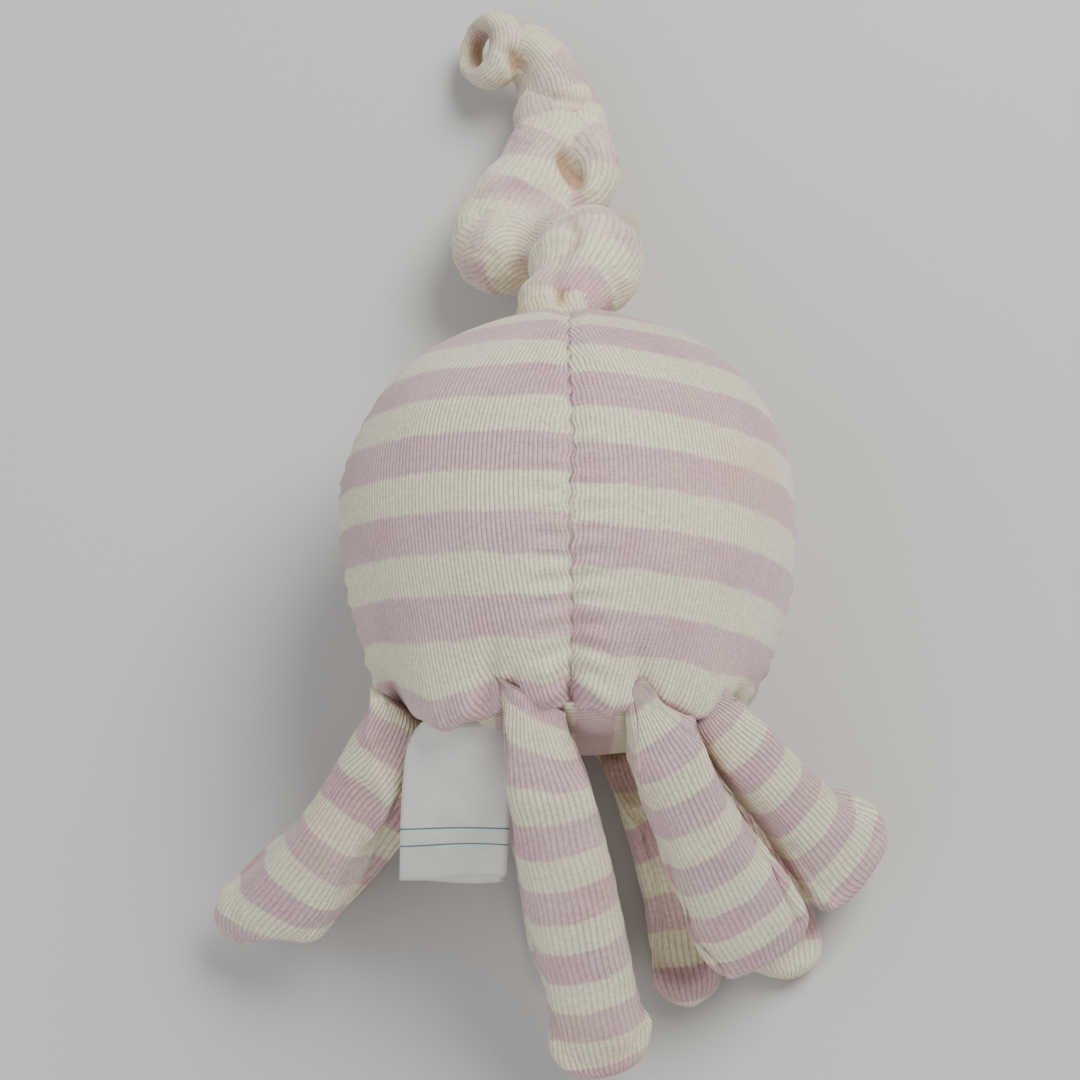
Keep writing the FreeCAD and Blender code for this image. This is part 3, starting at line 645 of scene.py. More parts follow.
def seam_pull(points):
    """How deep each point of the head is drawn in by the seams, and lifted by puckers."""
    x, y, z = points[:, 0], points[:, 1], points[:, 2] - AXIS_Z
    radius = np.hypot(x, z)
    angle = np.degrees(np.arctan2(z, x)) % 360
    sunk = np.zeros(len(points))
    for seam, depth in ((90, 1.0), (0, 0.7), (180, 0.7)):
        off = (angle - seam + 180) % 360 - 180
        reach = np.abs(np.radians(off)) * radius
        beat = np.sin(2 * math.pi * y / PUCKER_PITCH + 1.4 * np.sin(y / (9 * MM) + seam))
        deep = SEAM_DEPTH * depth * (1 + 0.28 * beat)
        sunk += deep * np.exp(-(reach / SEAM_WIDTH) ** 2)
        side_beat = np.sin(2 * math.pi * y / PUCKER_PITCH + np.sign(off) * 0.7 + 0.9 * seam)
        ripple = PUCKER_HEIGHT * depth * side_beat * reach / SEAM_WIDTH
        sunk += ripple * np.exp(-(reach / PUCKER_REACH) ** 2)
    above = y - BASE_SEAM_Y
    gather = np.sin(np.radians(angle) * 34 + 1.5 * np.sin(np.radians(angle) * 7))
    sunk += GATHER_HEIGHT * gather * np.exp(-((above - 3 * MM) / (5 * MM)) ** 2)
    for side_x in HEAD_DARTS:
        reach = x - side_x * (1 - 10 * (above - 7 * MM))
        along = smooth_step(DART_LENGTH - above, 0, 12 * MM)
        sunk += DART_DEPTH * np.exp(-(reach / DART_WIDTH) ** 2) * along * (z > 0)
    return sunk


def seam_wander(points):
    """How far the back seam strays sideways between its stitches."""
    x, y, z = points.T
    stray = np.sin(2 * math.pi * y / PUCKER_PITCH) + 0.8 * np.sin(y / (7 * MM))
    return 0.4 * MM * stray * np.exp(-(x / (2.5 * MM)) ** 2) * (z > AXIS_Z)


def overhang(points):
    """How far the cover's lower edge puffs out over the base seam, between the legs."""
    x, y, z = points[:, 0], points[:, 1], points[:, 2] - AXIS_Z
    table = np.array(HEAD_OVERHANG)
    share = np.interp(np.degrees(np.arctan2(z, x)) % 360, table[:, 0], table[:, 1])
    above = np.maximum(y - BASE_SEAM_Y, 0) / OVERHANG_REACH
    puff = share * above * np.exp(1 - above)
    away = np.stack([x, np.zeros(len(x)), z], 1) / np.hypot(x, z)[:, None]
    return puff[:, None] * (away * OVERHANG_SWELL - np.array((0, OVERHANG_DROP, 0)))


def outward(points):
    """Directions away from the head's axis, tipped towards the crown and base."""
    away = points - np.array((0, 0, AXIS_Z))
    away[:, 1] *= 0.6 * (np.abs(away[:, 1]) / HEAD_TOP_Y) ** 1.5
    return away / np.maximum(np.linalg.norm(away, axis=1, keepdims=True), 1e-9)


def make_head():
    """The cover, blown up as one shape and then cut into its three panels."""
    rows = head_rows()
    profile, along = head_profile()
    u = np.zeros((HEAD_ROWS, HEAD_COLUMNS + 1))
    whole = grid_mesh("head_pattern", rows, u, u, cap_first=True, cap_last=True)
    pins = []
    for row in range(HEAD_ROWS):
        for column in range(HEAD_COLUMNS):
            held = row < 2 or row > HEAD_ROWS - 3 or column in SEAM_COLUMNS
            pins.append((row * HEAD_COLUMNS + column, 1.0 if held else 0.05))
    inflate(whole, 2.0, HEAD_SWELL, pins, extra_cloth=0.01)
    rows = points_of(whole).reshape(HEAD_ROWS, HEAD_COLUMNS, 3)
    bpy.data.objects.remove(whole)
    for name, (first, last, middle, first_shift, last_shift) in HEAD_PANELS.items():
        columns = np.arange(first, last + 1)
        angles = np.radians(columns * 360 / HEAD_COLUMNS - middle)
        widths = 0.8 * profile[:, 1] + 0.2 * HEAD_RADIUS
        u = np.outer(widths, angles)
        v = along[:, None] + np.linspace(first_shift, last_shift, len(columns))
        panel = grid_mesh(name + "_knit", rows[:, columns % HEAD_COLUMNS], u, v, closed=False)
        subdivide(panel)
        points = points_of(panel)
        normals = outward(points)
        points -= normals * seam_pull(points)[:, None]
        points += overhang(points)
        points[:, 0] += seam_wander(points)
        points[:, 2] = np.maximum(points[:, 2], HEAD_FLOOR)
        set_points(panel, points)
        thicken(panel, KNIT_THICKNESS)
        paint(panel, HEAD_KNIT)
        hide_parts(name)
        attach(panel, "head")


def make_base_panel():
    """The round panel that the legs' ring closes."""
    angles = turns(BASE_COLUMNS, closed=True)
    rows = []
    u = []
    v = []
    for ring in range(BASE_RINGS):
        share = 1 - ring / BASE_RINGS
        radius = 0.995 * BASE_SEAM_RADIUS * share
        y = BASE_BULGE_Y + (BASE_SEAM_Y + 1.2 * MM - BASE_BULGE_Y) * share**6
        row = [(radius * math.cos(a), y, AXIS_Z + radius * math.sin(a)) for a in angles]
        rows.append(row[:-1])
        u.append([point[2] for point in row])
        v.append([point[0] for point in row])
    panel = grid_mesh("base_panel_knit", rows, u, v, cap_last=True)
    points = points_of(panel)
    for point in points:
        out = smooth_step(BASE_SEAM_RADIUS - math.hypot(point[0], point[2] - AXIS_Z), 0, 6 * MM)
        point[1] += out * soft_noise(point, 14 * MM, 5) * MM
    set_points(panel, points)
    thicken(panel, KNIT_THICKNESS)
    paint(panel, BASE_KNIT)
    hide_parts("base_panel")
    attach(panel, "head")


def make_head_filling():
    """Wadding that fills the cover, with a hollow for the pull-cord unit."""
    columns = HEAD_COLUMNS // 2
    rows = head_rows(inset=WADDING_GAP, columns=columns)
    zero = np.zeros((HEAD_ROWS, columns + 1))
    filling = grid_mesh("head_wadding", rows, zero, zero, cap_first=True, cap_last=True)
    low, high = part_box("housing_base")
    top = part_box("housing_cover")[1]
    radius = (high[0] - low[0]) / 2 + UNIT_CLEARANCE
    ends = (low[2] - UNIT_CLEARANCE, top[2] + UNIT_CLEARANCE)
    rounded = 3 * MM
    line = [(0.15 * radius, ends[0]), (radius - rounded, ends[0]), (radius, ends[0] + rounded)]
    line += [(radius, ends[1] - rounded), (radius - rounded, ends[1]), (0.15 * radius, ends[1])]
    rows = []
    for reach, height in line:
        rows.append([(reach * math.cos(a), reach * math.sin(a), height) for a in turns(48)])
    zero = np.zeros((len(rows), 49))
    hollow = grid_mesh("hollow", rows, zero, zero, cap_first=True, cap_last=True)
    hollow.data.flip_normals()
    join(filling, [hollow])
    paint(filling, MATERIALS["polyester_filling"])
    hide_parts("head_stuffing")
    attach(filling, "head")


# ---- legs
LEG_ROWS = 46
LEG_COLUMNS = 32
LEG_ROOT_HALF_THICKNESS = 1.3 * MM
LEG_WIDTH_SHARES = (0, 0.17, 0.5, 1)   # where along a leg its widths are given
LEG_SWELL = 2.2 * MM
TOE_SHARE = 0.15                 # the part of a leg that rounds off to its toe seam
RING_ROOT_HALF_WIDTH = 8.5 * MM

# Each leg: its angle round the base seam, its middle and tip, its half widths there and its
# half thickness, where a lilac band lies along it, and how far its toe slants, in millimetres
# and degrees. The places follow the CAD legs' within about a centimetre.
LEGS = {
    "leg_back_outer_left": (157, (-62, -82, 42), (-83, -104, 15), 12, 16, 9, 9.5, -8.5),
    "leg_back_inner_left": (108, (-0.5, -92, 58), (10.5, -138, 16), 13.8, 12.5, 9.5, 1.0, 0.5),
    "leg_back_inner_right": (65, (34.5, -83, 57), (52, -108, 19), 12.5, 16, 9, 1.0, 1.0),
    "leg_back_outer_right": (26, (61, -74, 38), (78, -86.5, 11), 11.5, 15, 8.5, 4.0, 1.0),
    "leg_front_outer_left": (202, (-57, -78, 12), (-73, -92, 4.5), 9.5, 9.5, 7.5, 6.0, 0.0),
    "leg_front_inner_left": (248, (-5, -88, 8.6), (3, -116, 4.5), 10.0, 10, 7.5, 3.0, 0.0),
    "leg_front_inner_right": (292, (27, -90, 8.5), (33.5, -120.5, 4.5), 9.0, 9.5, 7.5, 8.0, 0.0),
    "leg_front_outer_right": (337, (50, -84, 11), (60, -114, 4.5), 10.5, 11, 7.5, 5.0, 1.0),
}
# The upper legs' roots, gathered into the seam: middle, direction and half width, in
# millimetres. The lower legs' roots lie along the seam.
GATHERED_ROOTS = {
    "leg_back_outer_left": ((-41.0, -49.5, 68.5), (18, -9, -13), 11.0),
    "leg_back_inner_left": ((-9.8, -49.7, 93.5), (19, -9, -8), 10.5),
    "leg_back_inner_right": ((15.0, -47.5, 94.0), (8, 5, 1), 2.6),
    "leg_back_outer_right": ((33.0, -51.0, 77.5), (10, 9, 2), 7.5),
}


def unit(vector):
    vector = np.array(vector, float)
    return vector / np.linalg.norm(vector)


def root_of(name, angle):
    """Where a leg is sewn in: the middle of its root, its direction and its half width."""
    if name in GATHERED_ROOTS:
        middle, direction, half = GATHERED_ROOTS[name]
        return np.array(middle) * MM, unit(direction), half * MM
    right, up = math.cos(math.radians(angle)), math.sin(math.radians(angle))
    middle = (BASE_SEAM_RADIUS * right, BASE_SEAM_Y, AXIS_Z + BASE_SEAM_RADIUS * up)
    return np.array(middle), np.array((-up, 0, right)), RING_ROOT_HALF_WIDTH


def leg_rows(place, middle, tip, mid_width, tip_width, thickness, slant):
    """Rings of a flat sock from the base seam to its closed end, on a bent centre line."""
    root, at_root, root_width = place
    line = smooth_line([root, middle, tip], LEG_ROWS)
    widths = (root_width, 0.86 * mid_width, mid_width, tip_width)
    level = unit(np.cross(tip - root, (0, 0, 1)))
    if np.dot(at_root, level) < 0:
        at_root = -at_root
    rows = []
    for index, centre in enumerate(line):
        share = index / (LEG_ROWS - 1)
        forward = unit(line[min(index + 1, LEG_ROWS - 1)] - line[max(index - 1, 0)])
        turned = smooth_step(share, 0.02, 0.34)
        flat = unit(level - forward * np.dot(level, forward))
        sideways = unit(at_root * (1 - turned) + flat * turned)
        normal = unit(np.cross(sideways, forward))
        width = np.interp(share, LEG_WIDTH_SHARES, widths)
        to_end = min(1.0, (1 - share) / TOE_SHARE)
        round_off = math.sqrt(1 - (1 - to_end) ** 2)
        width *= 0.40 + 0.60 * round_off
        start = min(1.0, share / 0.22) ** 0.55
        thin = LEG_ROOT_HALF_THICKNESS + (thickness - LEG_ROOT_HALF_THICKNESS) * start
        thin *= 0.10 + 0.90 * round_off
        ring = []
        for a in turns(LEG_COLUMNS):
            across = math.copysign(abs(math.cos(a)) ** 0.85, math.cos(a))
            through = math.copysign(abs(math.sin(a)) ** 0.9, math.sin(a))
            ahead = 1.5 * MM * (1 - across**2) * (1 - to_end)
            ahead -= slant * across * smooth_step(share, 0.55, 1.0)
            off_centre = sideways * across * width + normal * through * thin
            ring.append(centre + off_centre + forward * ahead)
        rows.append(ring)
    return np.array(rows)


def row_lengths(rows):
    """How far along the cloth each row lies, and how far round each point is."""
    steps = np.linalg.norm(np.diff(rows, axis=0), axis=2)
    along = np.concatenate([[0], np.cumsum(np.median(steps, axis=1))])
    closed = np.concatenate([rows, rows[:, :1]], axis=1)
    around = np.linalg.norm(np.diff(closed, axis=1), axis=2)
    around = np.concatenate([np.zeros((len(rows), 1)), np.cumsum(around, axis=1)], axis=1)
    return along, around


def make_leg(name, angle, middle, tip, mid_width, tip_width, thickness, lilac, slant):
    """A stuffed sock of knit, sewn into the base seam at its root."""
    middle = np.array(middle) * MM
    tip = np.array(tip) * MM
    place = root_of(name, angle)
    sizes = [value * MM for value in (mid_width, tip_width, thickness, slant)]
    rows = leg_rows(place, middle, tip, *sizes)
    along, around = row_lengths(rows)
    cloth = 2.0 * (mid_width + tip_width) * MM
    u = around / around[:, -1:] * cloth
    v = np.repeat((along - lilac * MM)[:, None], LEG_COLUMNS + 1, axis=1)
    leg = grid_mesh(name + "_knit", rows, u, v, cap_first=True, cap_last=True)
    pins = []
    for row in range(LEG_ROWS):
        held = 1.0 if row == 0 else 0.55 if row == LEG_ROWS - 1 else 0.03
        pins += [(row * LEG_COLUMNS + column, held) for column in range(LEG_COLUMNS)]
    inflate(leg, 3.0, LEG_SWELL, pins, extra_cloth=0.06)
    subdivide(leg)
    points = points_of(leg)
    normals = normals_of(leg)
    seed = angle / 10
    for index, point in enumerate(points):
        lump = soft_noise(point, 13 * MM, seed) + 0.45 * soft_noise(point, 5 * MM, seed + 1)
        points[index] = point + normals[index] * lump * 0.55 * MM
    points[:, 2] = np.maximum(points[:, 2], TABLE_GAP)
    set_points(leg, points)
    paint(leg, LEG_KNIT)
    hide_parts(name + "_skin", name + "_filling")
    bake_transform(leg)


# ---- sleeve and hanging loop
SLEEVE_VOXEL = 0.9 * MM
SLEEVE_WALES = 46
LOOP_WALES = 26
LOOP_STEPS = 72                  # rows round the hanging loop's ring
LOOP_SIDES = 28
# how far along the cloth each tube's first row lies
SLEEVE_STRIPE_START = -1.2 * MM
LOOP_STRIPE_START = 3.0 * MM

# the bunched tube's middle line: X, Y, Z, half width and half thickness in millimetres
SLEEVE_LINE = (
    (0, 49, 50, 6.5, 6.5),
    (-0.5, 55, 50.5, 8.5, 8.0),
    (-3.0, 60.0, 50, 11.0, 10.0),
    (0.5, 65.0, 47.5, 11.0, 9.5),
    (4.0, 72.5, 42.5, 15.4, 13.5),
    (5.2, 81, 36, 14.8, 12.5),
    (-4, 85.5, 28, 10.5, 9.5),
    (-16.5, 87, 21, 15.2, 14.0),
    (-15, 95, 18.5, 15.6, 13.5),
    (-11.5, 102, 16.5, 15.2, 12.0),
    (-8.5, 108.5, 15, 13.6, 11.0),
    (-6.5, 114, 14, 12.4, 10.4),
    (-3.0, 119.5, 13.8, 13.0, 10.4),
    (-0.8, 125, 13.5, 13.6, 10.0),
    (-2.6, 131.5, 13.2, 13.0, 9.5),
    (-4.0, 136.0, 13.6, 11.0, 7.8),
    (-5.0, 139.0, 14.0, 8.0, 5.5),
)
# a fold of the tube that stands out on its right
SLEEVE_SIDE_FOLD = (
    (0.0, 127, 14, 8.0, 8.0),
    (5.6, 119, 15, 8.4, 9.4),
    (8.6, 112, 15.5, 6.8, 9.2),
    (6.8, 105.5, 15.5, 6.4, 8.4),
    (0.0, 101.5, 15.5, 6.0, 7.0),
)
# folds pressed into the bunched tube: points along each, its width and its depth, in millimetres,
# and how much painted brown shade it holds
SLEEVE_CREASES = (
    (((-2.0, 115, 22), (1.5, 109, 22), (5.0, 103, 20)), 1.8, 2.4, 1.0),
    (((0.5, 88, 46), (2.5, 79, 54), (-2.5, 70, 58), (-2.0, 60, 61)), 1.4, 2.0, 0.4),
    (((1.5, 91, 34), (-5.0, 88, 30), (-11.5, 83, 27), (-14.0, 76, 24)), 2.8, 1.2, 1.0),
    (((-20, 104, 26), (-10, 103, 30), (2, 101, 28)), 1.6, 1.6, 0.2),
    (((-2, 57, 61), (-1.0, 64, 60)), 1.4, 2.6, 0.5),
)
LOOP_TILT = 50                   # of the hanging loop's ring, in degrees from the table
LOOP_MIDDLE = (-23.6, 150.6, 11.6)
# the ring of the hanging loop: angle, radius of its middle line, half width, half thickness
LOOP_RING = (
    (0, 11.0, 6.0, 5.4),
    (27, 9.8, 4.6, 5.2),
    (80, 7.5, 2.4, 4.6),
    (130, 6.7, 1.9, 4.4),
    (180, 6.3, 1.6, 4.4),
    (214, 6.9, 2.0, 4.6),
    (245, 7.4, 2.3, 4.8),
    (315, 11.0, 5.6, 5.2),
    (360, 11.0, 6.0, 5.4),
)
# the strap between the sleeve and the ring: X, Y, Z, half width and half thickness
LOOP_NECK = (
    (-0.6, 124.5, 13.4, 10.0, 7.2),
    (-1.6, 128.0, 13.3, 12.2, 8.8),
    (-3.0, 133.0, 13.4, 13.1, 9.2),
    (-4.6, 139.0, 14.4, 12.2, 7.8),
    (-8.2, 145.0, 16.2, 10.6, 6.6),
    (-12.4, 149.6, 17.4, 8.6, 5.4),
    (-16.4, 152.6, 17.6, 5.6, 4.4),
)
# folds pressed into the loop, given as those of the sleeve are
LOOP_CREASES = (
    (((-18, 143.5, 18), (-15.5, 145, 21), (-12.5, 139, 22)), 2.0, 2.6, 0.8),
    # not a fold: painted brown shade on the inside of the ring's hole, where shade falls
    (((-19.5, 150.6, 8.2), (-23.6, 150.6, 11.6), (-27.5, 150.6, 15.0)), 4.6, 0.0, 1.0),
    (((-16, 130.5, 20), (-6, 131.5, 24), (8, 129.5, 20)), 1.2, 1.4, 0.35),
)


def sweep(line, sides, side=(1, 0, 0)):
    """Rings round a line of (x, y, z, half width, half thickness) rows, in metres."""
    rows = []
    for index, entry in enumerate(line):
        centre = entry[:3]
        ahead = unit(line[min(index + 1, len(line) - 1)][:3] - line[max(index - 1, 0)][:3])
        sideways = unit(np.array(side, float) - ahead * np.dot(side, ahead))
        through = np.cross(sideways, ahead)
        ring = []
        for a in turns(sides):
            wide = sideways * math.cos(a) * entry[3]
            ring.append(centre + wide + through * math.sin(a) * entry[4])
        rows.append(ring)
    return np.array(rows)


def tube(name, rows, wales, start=0.0):
    """A closed tube of knit with wales ribs round it."""
    along, _ = row_lengths(rows)
    columns = rows.shape[1]
    u = np.repeat(np.linspace(0, wales * WALE, columns + 1)[None, :], len(rows), axis=0)
    v = np.repeat((along + start)[:, None], columns + 1, axis=1)
    return grid_mesh(name, rows, u, v, cap_first=True, cap_last=True)


def carry_uv(obj, source):
    """Gives each face of obj the cloth's places from the nearest face of source."""
    places = points_of(source)
    polygons = [list(polygon.vertices) for polygon in source.data.polygons]
    starts = [polygon.loop_start for polygon in source.data.polygons]
    given = np.empty(len(source.data.loops) * 2)
    source.data.uv_layers["knit"].data.foreach_get("uv", given)
    given = given.reshape(-1, 2)
    tree = BVHTree.FromPolygons([tuple(p) for p in places], polygons)
    layer = obj.data.uv_layers.new(name="knit")
    points = points_of(obj)
    found = np.empty((len(obj.data.loops), 2))
    for polygon in obj.data.polygons:
        near = tree.find_nearest(polygon.center)[2]
        a, b, c = (places[polygons[near][k]] for k in (0, 1, -1))
        uv_a, uv_b, uv_c = (given[starts[near] + k] for k in (0, 1, len(polygons[near]) - 1))
        edges = np.array((b - a, c - a))
        inverse = np.linalg.pinv(edges)
        for loop in polygon.loop_indices:
            share = (points[obj.data.loops[loop].vertex_index] - a) @ inverse
            share = np.clip(share, -3, 4)
            found[loop] = uv_a + share[0] * (uv_b - uv_a) + share[1] * (uv_c - uv_a)
    layer.data.foreach_set("uv", found.ravel())


def crease_depth_and_shade(points, creases):
    """How deep each point lies in a pressed fold, and how much painted shade one gives it."""
    depth = np.zeros(len(points))
    shade_mark = np.zeros(len(points))
    for line, width, deep, shade_share in creases:
        path = smooth_line(np.array(line) * MM, 40)
        nearest = np.full(len(points), 1.0)
        ends = np.ones(len(points))
        for index, place in enumerate(path):
            away = np.linalg.norm((points - place) * (1, 1, 0.4), axis=1)
            closer = away < nearest
            nearest = np.where(closer, away, nearest)
            taper = math.sin(math.pi * (index + 0.5) / len(path)) ** 0.5
            ends = np.where(closer, taper, ends)
        reach = np.exp(-(nearest / (width * 1.6 * MM)) ** 2) * ends
        depth += deep * MM * reach
        shade_mark = np.maximum(shade_mark, shade_share * np.exp(-(nearest / (width * MM)) ** 2) * ends)
    return depth, shade_mark


# stores the painted crease shade on the points, for the knit's shader
def store_crease_shade(obj, shade_mark):
    layer = obj.data.attributes.new("crease_shade", "FLOAT", "POINT")
    layer.data.foreach_set("value", shade_mark.astype(np.float32))


def knit_skin(obj, source, creases, rounds, lump):
    """Remeshes a bunched shape into one cloth surface with its folds, then removes source."""
    remesh(obj, SLEEVE_VOXEL)
    carry_uv(obj, source)
    bpy.data.objects.remove(source)
    points = relax(points_of(obj), obj, rounds)
    set_points(obj, points)
    subdivide(obj)
    points = points_of(obj)
    # the pressed folds: how deep each point sinks, and how much painted brown shade it gets
    depth, shade_mark = crease_depth_and_shade(points, creases)
    normals = normals_of(obj)
    for index, point in enumerate(points):
        ripple = soft_noise(point, 6.5 * MM, 11) + 0.5 * soft_noise(point, 3.2 * MM, 12)
        points[index] = point + normals[index] * (ripple * lump - depth[index])
    points[:, 2] = np.maximum(points[:, 2], TABLE_GAP)
    set_points(obj, points)
    set_points(obj, relax(points_of(obj), obj, 1))
    store_crease_shade(obj, shade_mark)
    obj.data.polygons.foreach_set("use_smooth", [True] * len(obj.data.polygons))


def make_sleeve():
    """The bunched tube over the cord, with the fold that stands out on its right."""
    rows = sweep(smooth_line(np.array(SLEEVE_LINE) * MM, 90), 40)
    pattern = tube("sleeve_pattern", rows, SLEEVE_WALES, start=SLEEVE_STRIPE_START)
    rows = sweep(smooth_line(np.array(SLEEVE_SIDE_FOLD) * MM, 24), 28)[::-1, ::-1]
    join(pattern, [tube("side_fold", rows, SLEEVE_WALES / 2)])
    sleeve = copy_of(pattern, "pull_sleeve_knit")
    knit_skin(sleeve, pattern, SLEEVE_CREASES, 3, 0.7 * MM)
    paint(sleeve, SLEEVE_KNIT)
    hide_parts("pull_sleeve")
    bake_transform(sleeve)


def make_hang_loop():
    """The loop that is pulled: a ring of knit, and the strap that joins it to the sleeve."""
    tilt = math.radians(LOOP_TILT)
    across = np.array((math.cos(tilt), 0, math.sin(tilt)))
    normal = np.array((-math.sin(tilt), 0, math.cos(tilt)))
    middle = np.array(LOOP_MIDDLE) * MM
    table = np.array(LOOP_RING, float)
    rows = []
    v = []
    way = LOOP_STRIPE_START
    for angle in np.linspace(0, 360, LOOP_STEPS + 1):
        radius, width, thick = (np.interp(angle, table[:, 0], table[:, k]) * MM for k in (1, 2, 3))
        turn = math.radians(angle)
        out = across * math.cos(turn) + np.array((0, 1, 0)) * math.sin(turn)
        ring = []
        for a in turns(LOOP_SIDES):
            reach = radius + width * math.cos(a)
            ring.append(middle + out * reach + normal * thick * math.sin(a))
        rows.append(ring)
        v.append([way] * (LOOP_SIDES + 1))
        way += radius * 2 * math.pi / LOOP_STEPS
    u = np.tile(np.linspace(0, LOOP_WALES * WALE, LOOP_SIDES + 1), (LOOP_STEPS + 1, 1))
    loop = grid_mesh("hang_loop_knit", rows, u, v)
    neck_line = smooth_line(np.array(LOOP_NECK) * MM, 30)
    neck = tube("neck", sweep(neck_line, 32, side=across), SLEEVE_WALES, start=LOOP_STRIPE_START)
    join(loop, [neck])
    pattern = copy_of(loop, "loop_pattern")
    knit_skin(loop, pattern, LOOP_CREASES, 3, 0.5 * MM)
    paint(loop, SLEEVE_KNIT)
    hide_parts("hang_loop")
    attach(loop, "pull_loop")


# ---- ribbons
def ribbon(name, rows, thickness):
    """A strip of ribbon from rows of points across it."""
    rows = np.array(rows)
    steps = np.linalg.norm(np.diff(rows, axis=0), axis=2)
    along = np.concatenate([[0], np.cumsum(np.median(steps, axis=1))])
    across = np.linalg.norm(np.diff(rows, axis=1), axis=2)
    across = np.concatenate([np.zeros((len(rows), 1)), np.cumsum(across, axis=1)], axis=1)
    v = np.repeat(along[:, None], rows.shape[1], axis=1)
    strip = grid_mesh(name, rows, across, v, closed=False)
    thicken(strip, thickness)
    return strip


TAB_WIDTH = 10.2 * MM
TAB_GAP = 0.9 * MM               # between the tab's two layers


def make_tab():
    """A short ribbon folded double, that stands out beside the sleeve."""
    low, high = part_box("sleeve_tab")
    reach = high[0] - low[0]
    fold = high[0] - TAB_GAP
    rows = []
    side = [(low[0] + reach * share, 1) for share in np.linspace(0, 0.96, 14)]
    turn = [(fold + TAB_GAP * math.sin(a), math.cos(a)) for a in np.linspace(0.3, 2.84, 7)]
    back = [(x, -1) for x, _ in reversed(side)]
    for x, level in side + turn + back:
        row = []
        for share in np.linspace(0, 1, 9):
            y = low[1] + TAB_WIDTH * share
            sag = 1.6 * MM * ((x - low[0]) / reach) ** 2
            curl = 0.5 * MM * math.sin(3 * share + x / (4 * MM))
            row.append((x, y, high[2] + level * TAB_GAP / 2 - sag + curl))
        rows.append(row)
    tab = ribbon("sleeve_tab_ribbon", rows, 0.35 * MM)
    paint(tab, TAB_TAPE)
    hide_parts("sleeve_tab")
    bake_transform(tab)


LABELS = {
    # name: (node, drop below the upper label, extra length, half widths at the seam and below),
    # in millimetres
    "woven_label_ribbon": ("woven_label", 0.0, 0.0, 7.0, 13.6),
    "under_label_ribbon": ("under_label", 2.6, 3.0, 6.6, 12.9),
}
# the labels' middle line, from the base seam down, in millimetres
LABEL_LINE = (
    (-26.0, -54.5, 78.0),
    (-28.0, -73.0, 68.0),
    (-29.5, -90.5, 46.0),
)


def make_label(name, node, drop, extra, top_half, half):
    """A ribbon that hangs from the base seam, narrow where it is gathered into it."""
    line = smooth_line(np.array(LABEL_LINE) * MM, 30)
    ahead = unit(line[-1] - line[0])
    level = np.array((-1.0, 0.0, 0.0))
    under = unit(np.cross(ahead, level))
    if under[2] > 0:
        under = -under
    rows = []
    for index, centre in enumerate(line):
        share = index / (len(line) - 1)
        shoulder = math.sqrt(1 - (1 - min(1.0, share / 0.24)) ** 2)
        width = (top_half + (half - top_half) * shoulder) * MM
        lower = under * drop * MM * smooth_step(share, 0, 0.2) + ahead * extra * MM * share
        row = []
        for side in np.linspace(-1, 1, 19):
            arch = 2.4 * MM * (1 - smooth_step(share, 0, 0.8)) * side**2
            curl = 0.9 * MM * math.sin(2.2 * side + 3.0 * share + drop) * share
            row.append(centre + level * side * width + under * (arch + curl) + lower)
        rows.append(row)
    label = ribbon(name, rows, 0.45 * MM)
    paint(label, MATERIALS["label_ribbon"])
    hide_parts(node)
    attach(label, "head")


# ---- pull cord
CORD_DIAMETER = 1.6 * MM
CORD_ROUTE = (
    (0.0, 5.7, 50.0),
    (0.0, 62.0, 50.0),
    (1.5, 85.0, 31.5),
    (-1.0, 107.0, 16.5),
    (-2.0, 133.5, 12.5),
)


def make_cord():
    """The cord from the drum to its knot in the hanging loop."""
    curve = bpy.data.curves.new("cord_route", "CURVE")
    curve.dimensions = "3D"
    spline = curve.splines.new("NURBS")
    spline.points.add(len(CORD_ROUTE) - 1)
    for point, place in zip(spline.points, CORD_ROUTE):
        point.co = (*(MM * value for value in place), 1.0)
    spline.order_u = 3
    spline.use_endpoint_u = True
    spline.resolution_u = 24
    route = new_object("cord_route", curve)
    path = [vertex.co.copy() for vertex in bpy.data.meshes.new_from_object(route).vertices]
    bpy.data.objects.remove(route)
    radius = CORD_DIAMETER / 2
    line = np.array([(*place, radius, radius) for place in path])
    rows = sweep(line, 12)
    cord = tube("pull_cord_braid", rows, 6)
    paint(cord, MATERIALS["braided_cord"])
    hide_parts("pull_cord")
    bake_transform(cord)


def finish_cad_nodes():
    """The hard parts keep their CAD shapes and get their materials."""
    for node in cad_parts.values():
        if node.hide_render:
            continue
        slot_name = node.data.materials[0].name.split(".")[0]
        node.data.materials[0] = MATERIALS[slot_name]


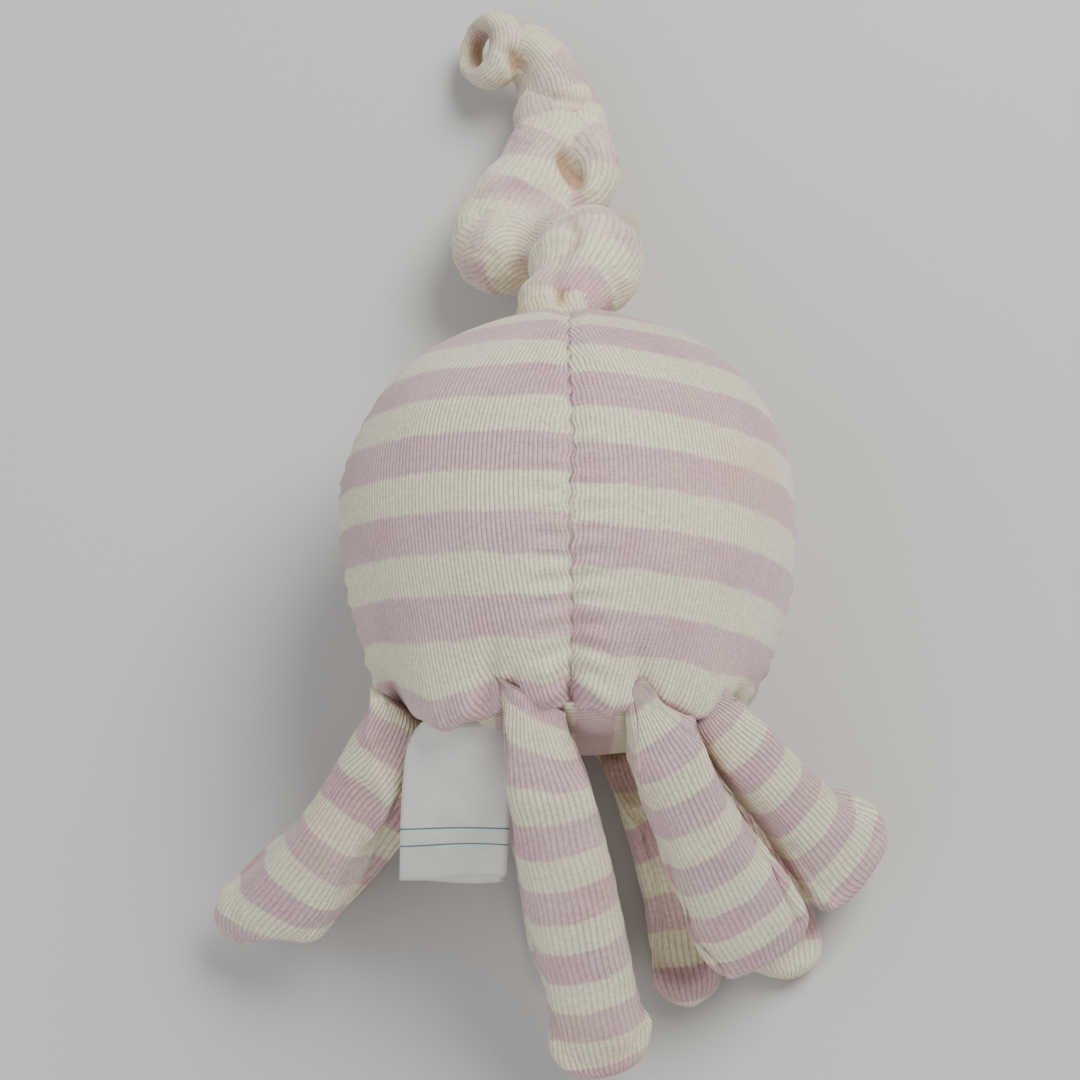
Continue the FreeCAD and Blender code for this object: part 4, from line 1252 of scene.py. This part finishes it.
# ---- stage
HEAD_MIDDLE = Vector((0, 0, 54 * MM))
FLOOR_HALF_WIDTH = 3.0
LIGHTS = (                       # name, place, size, watts, colour
    ("key", (0.45, 0.55, 0.9), 0.7, 14.0, (1.0, 0.98, 0.95)),
    ("fill", (-0.8, -0.3, 0.8), 1.2, 5.0, (0.93, 0.96, 1.0)),
    ("low", (0.2, -1.1, 0.5), 1.0, 3.5, (1.0, 0.97, 0.93)),
)
CAMERA_ELEVATION = 78
CAMERA_DISTANCE = 0.60
CAMERA_LENS = 77
FRAME_OFFSET = (-7.3 * MM, 3.9 * MM)   # the head isn't quite in the middle of the picture


def make_camera():
    camera = new_object("camera", bpy.data.cameras.new("camera"))
    camera.data.lens = CAMERA_LENS
    camera.data.sensor_width = 36
    tilt = math.radians(90 - CAMERA_ELEVATION)
    camera.rotation_euler = (tilt, 0, 0)
    back = Vector((0, -math.sin(tilt), math.cos(tilt)))
    up = Vector((0, math.cos(tilt), math.sin(tilt)))
    right = Vector((1, 0, 0))
    aim = HEAD_MIDDLE + right * FRAME_OFFSET[0] - up * FRAME_OFFSET[1]
    camera.location = aim + back * CAMERA_DISTANCE
    camera.data.clip_start = 0.01
    camera.data.clip_end = 20
    bpy.context.scene.camera = camera


def area_light(name, place, size, watts, colour):
    light = bpy.data.lights.new(name, "AREA")
    light.shape = "DISK"
    light.size = size
    light.energy = watts
    light.color = colour
    obj = new_object(name, light)
    obj.location = place
    obj.rotation_euler = (HEAD_MIDDLE - Vector(place)).to_track_quat("-Z", "Y").to_euler()


def make_stage():
    half = FLOOR_HALF_WIDTH
    corners = [(-half, -half, 0), (half, -half, 0), (half, half, 0), (-half, half, 0)]
    floor = mesh_object("floor", corners, [(0, 1, 2, 3)])
    n = Nodes("pale_floor")
    n.set(Base_Color=(0.60, 0.59, 0.57), Roughness=0.8)
    floor.data.materials.append(n.material)
    for light in LIGHTS:
        area_light(*light)
    world = bpy.data.worlds.new("studio")
    world.use_nodes = True
    background = world.node_tree.nodes["Background"]
    background.inputs["Color"].default_value = (0.9, 0.92, 0.95, 1)
    background.inputs["Strength"].default_value = 0.35
    bpy.context.scene.world = world


# ---- the parts
make_head()
make_base_panel()
make_head_filling()
for leg_name, leg_sizes in LEGS.items():
    make_leg(leg_name, *leg_sizes)
make_sleeve()
make_hang_loop()
make_tab()
for label_name, label_sizes in LABELS.items():
    make_label(label_name, *label_sizes)
make_cord()
finish_cad_nodes()

make_camera()
make_stage()
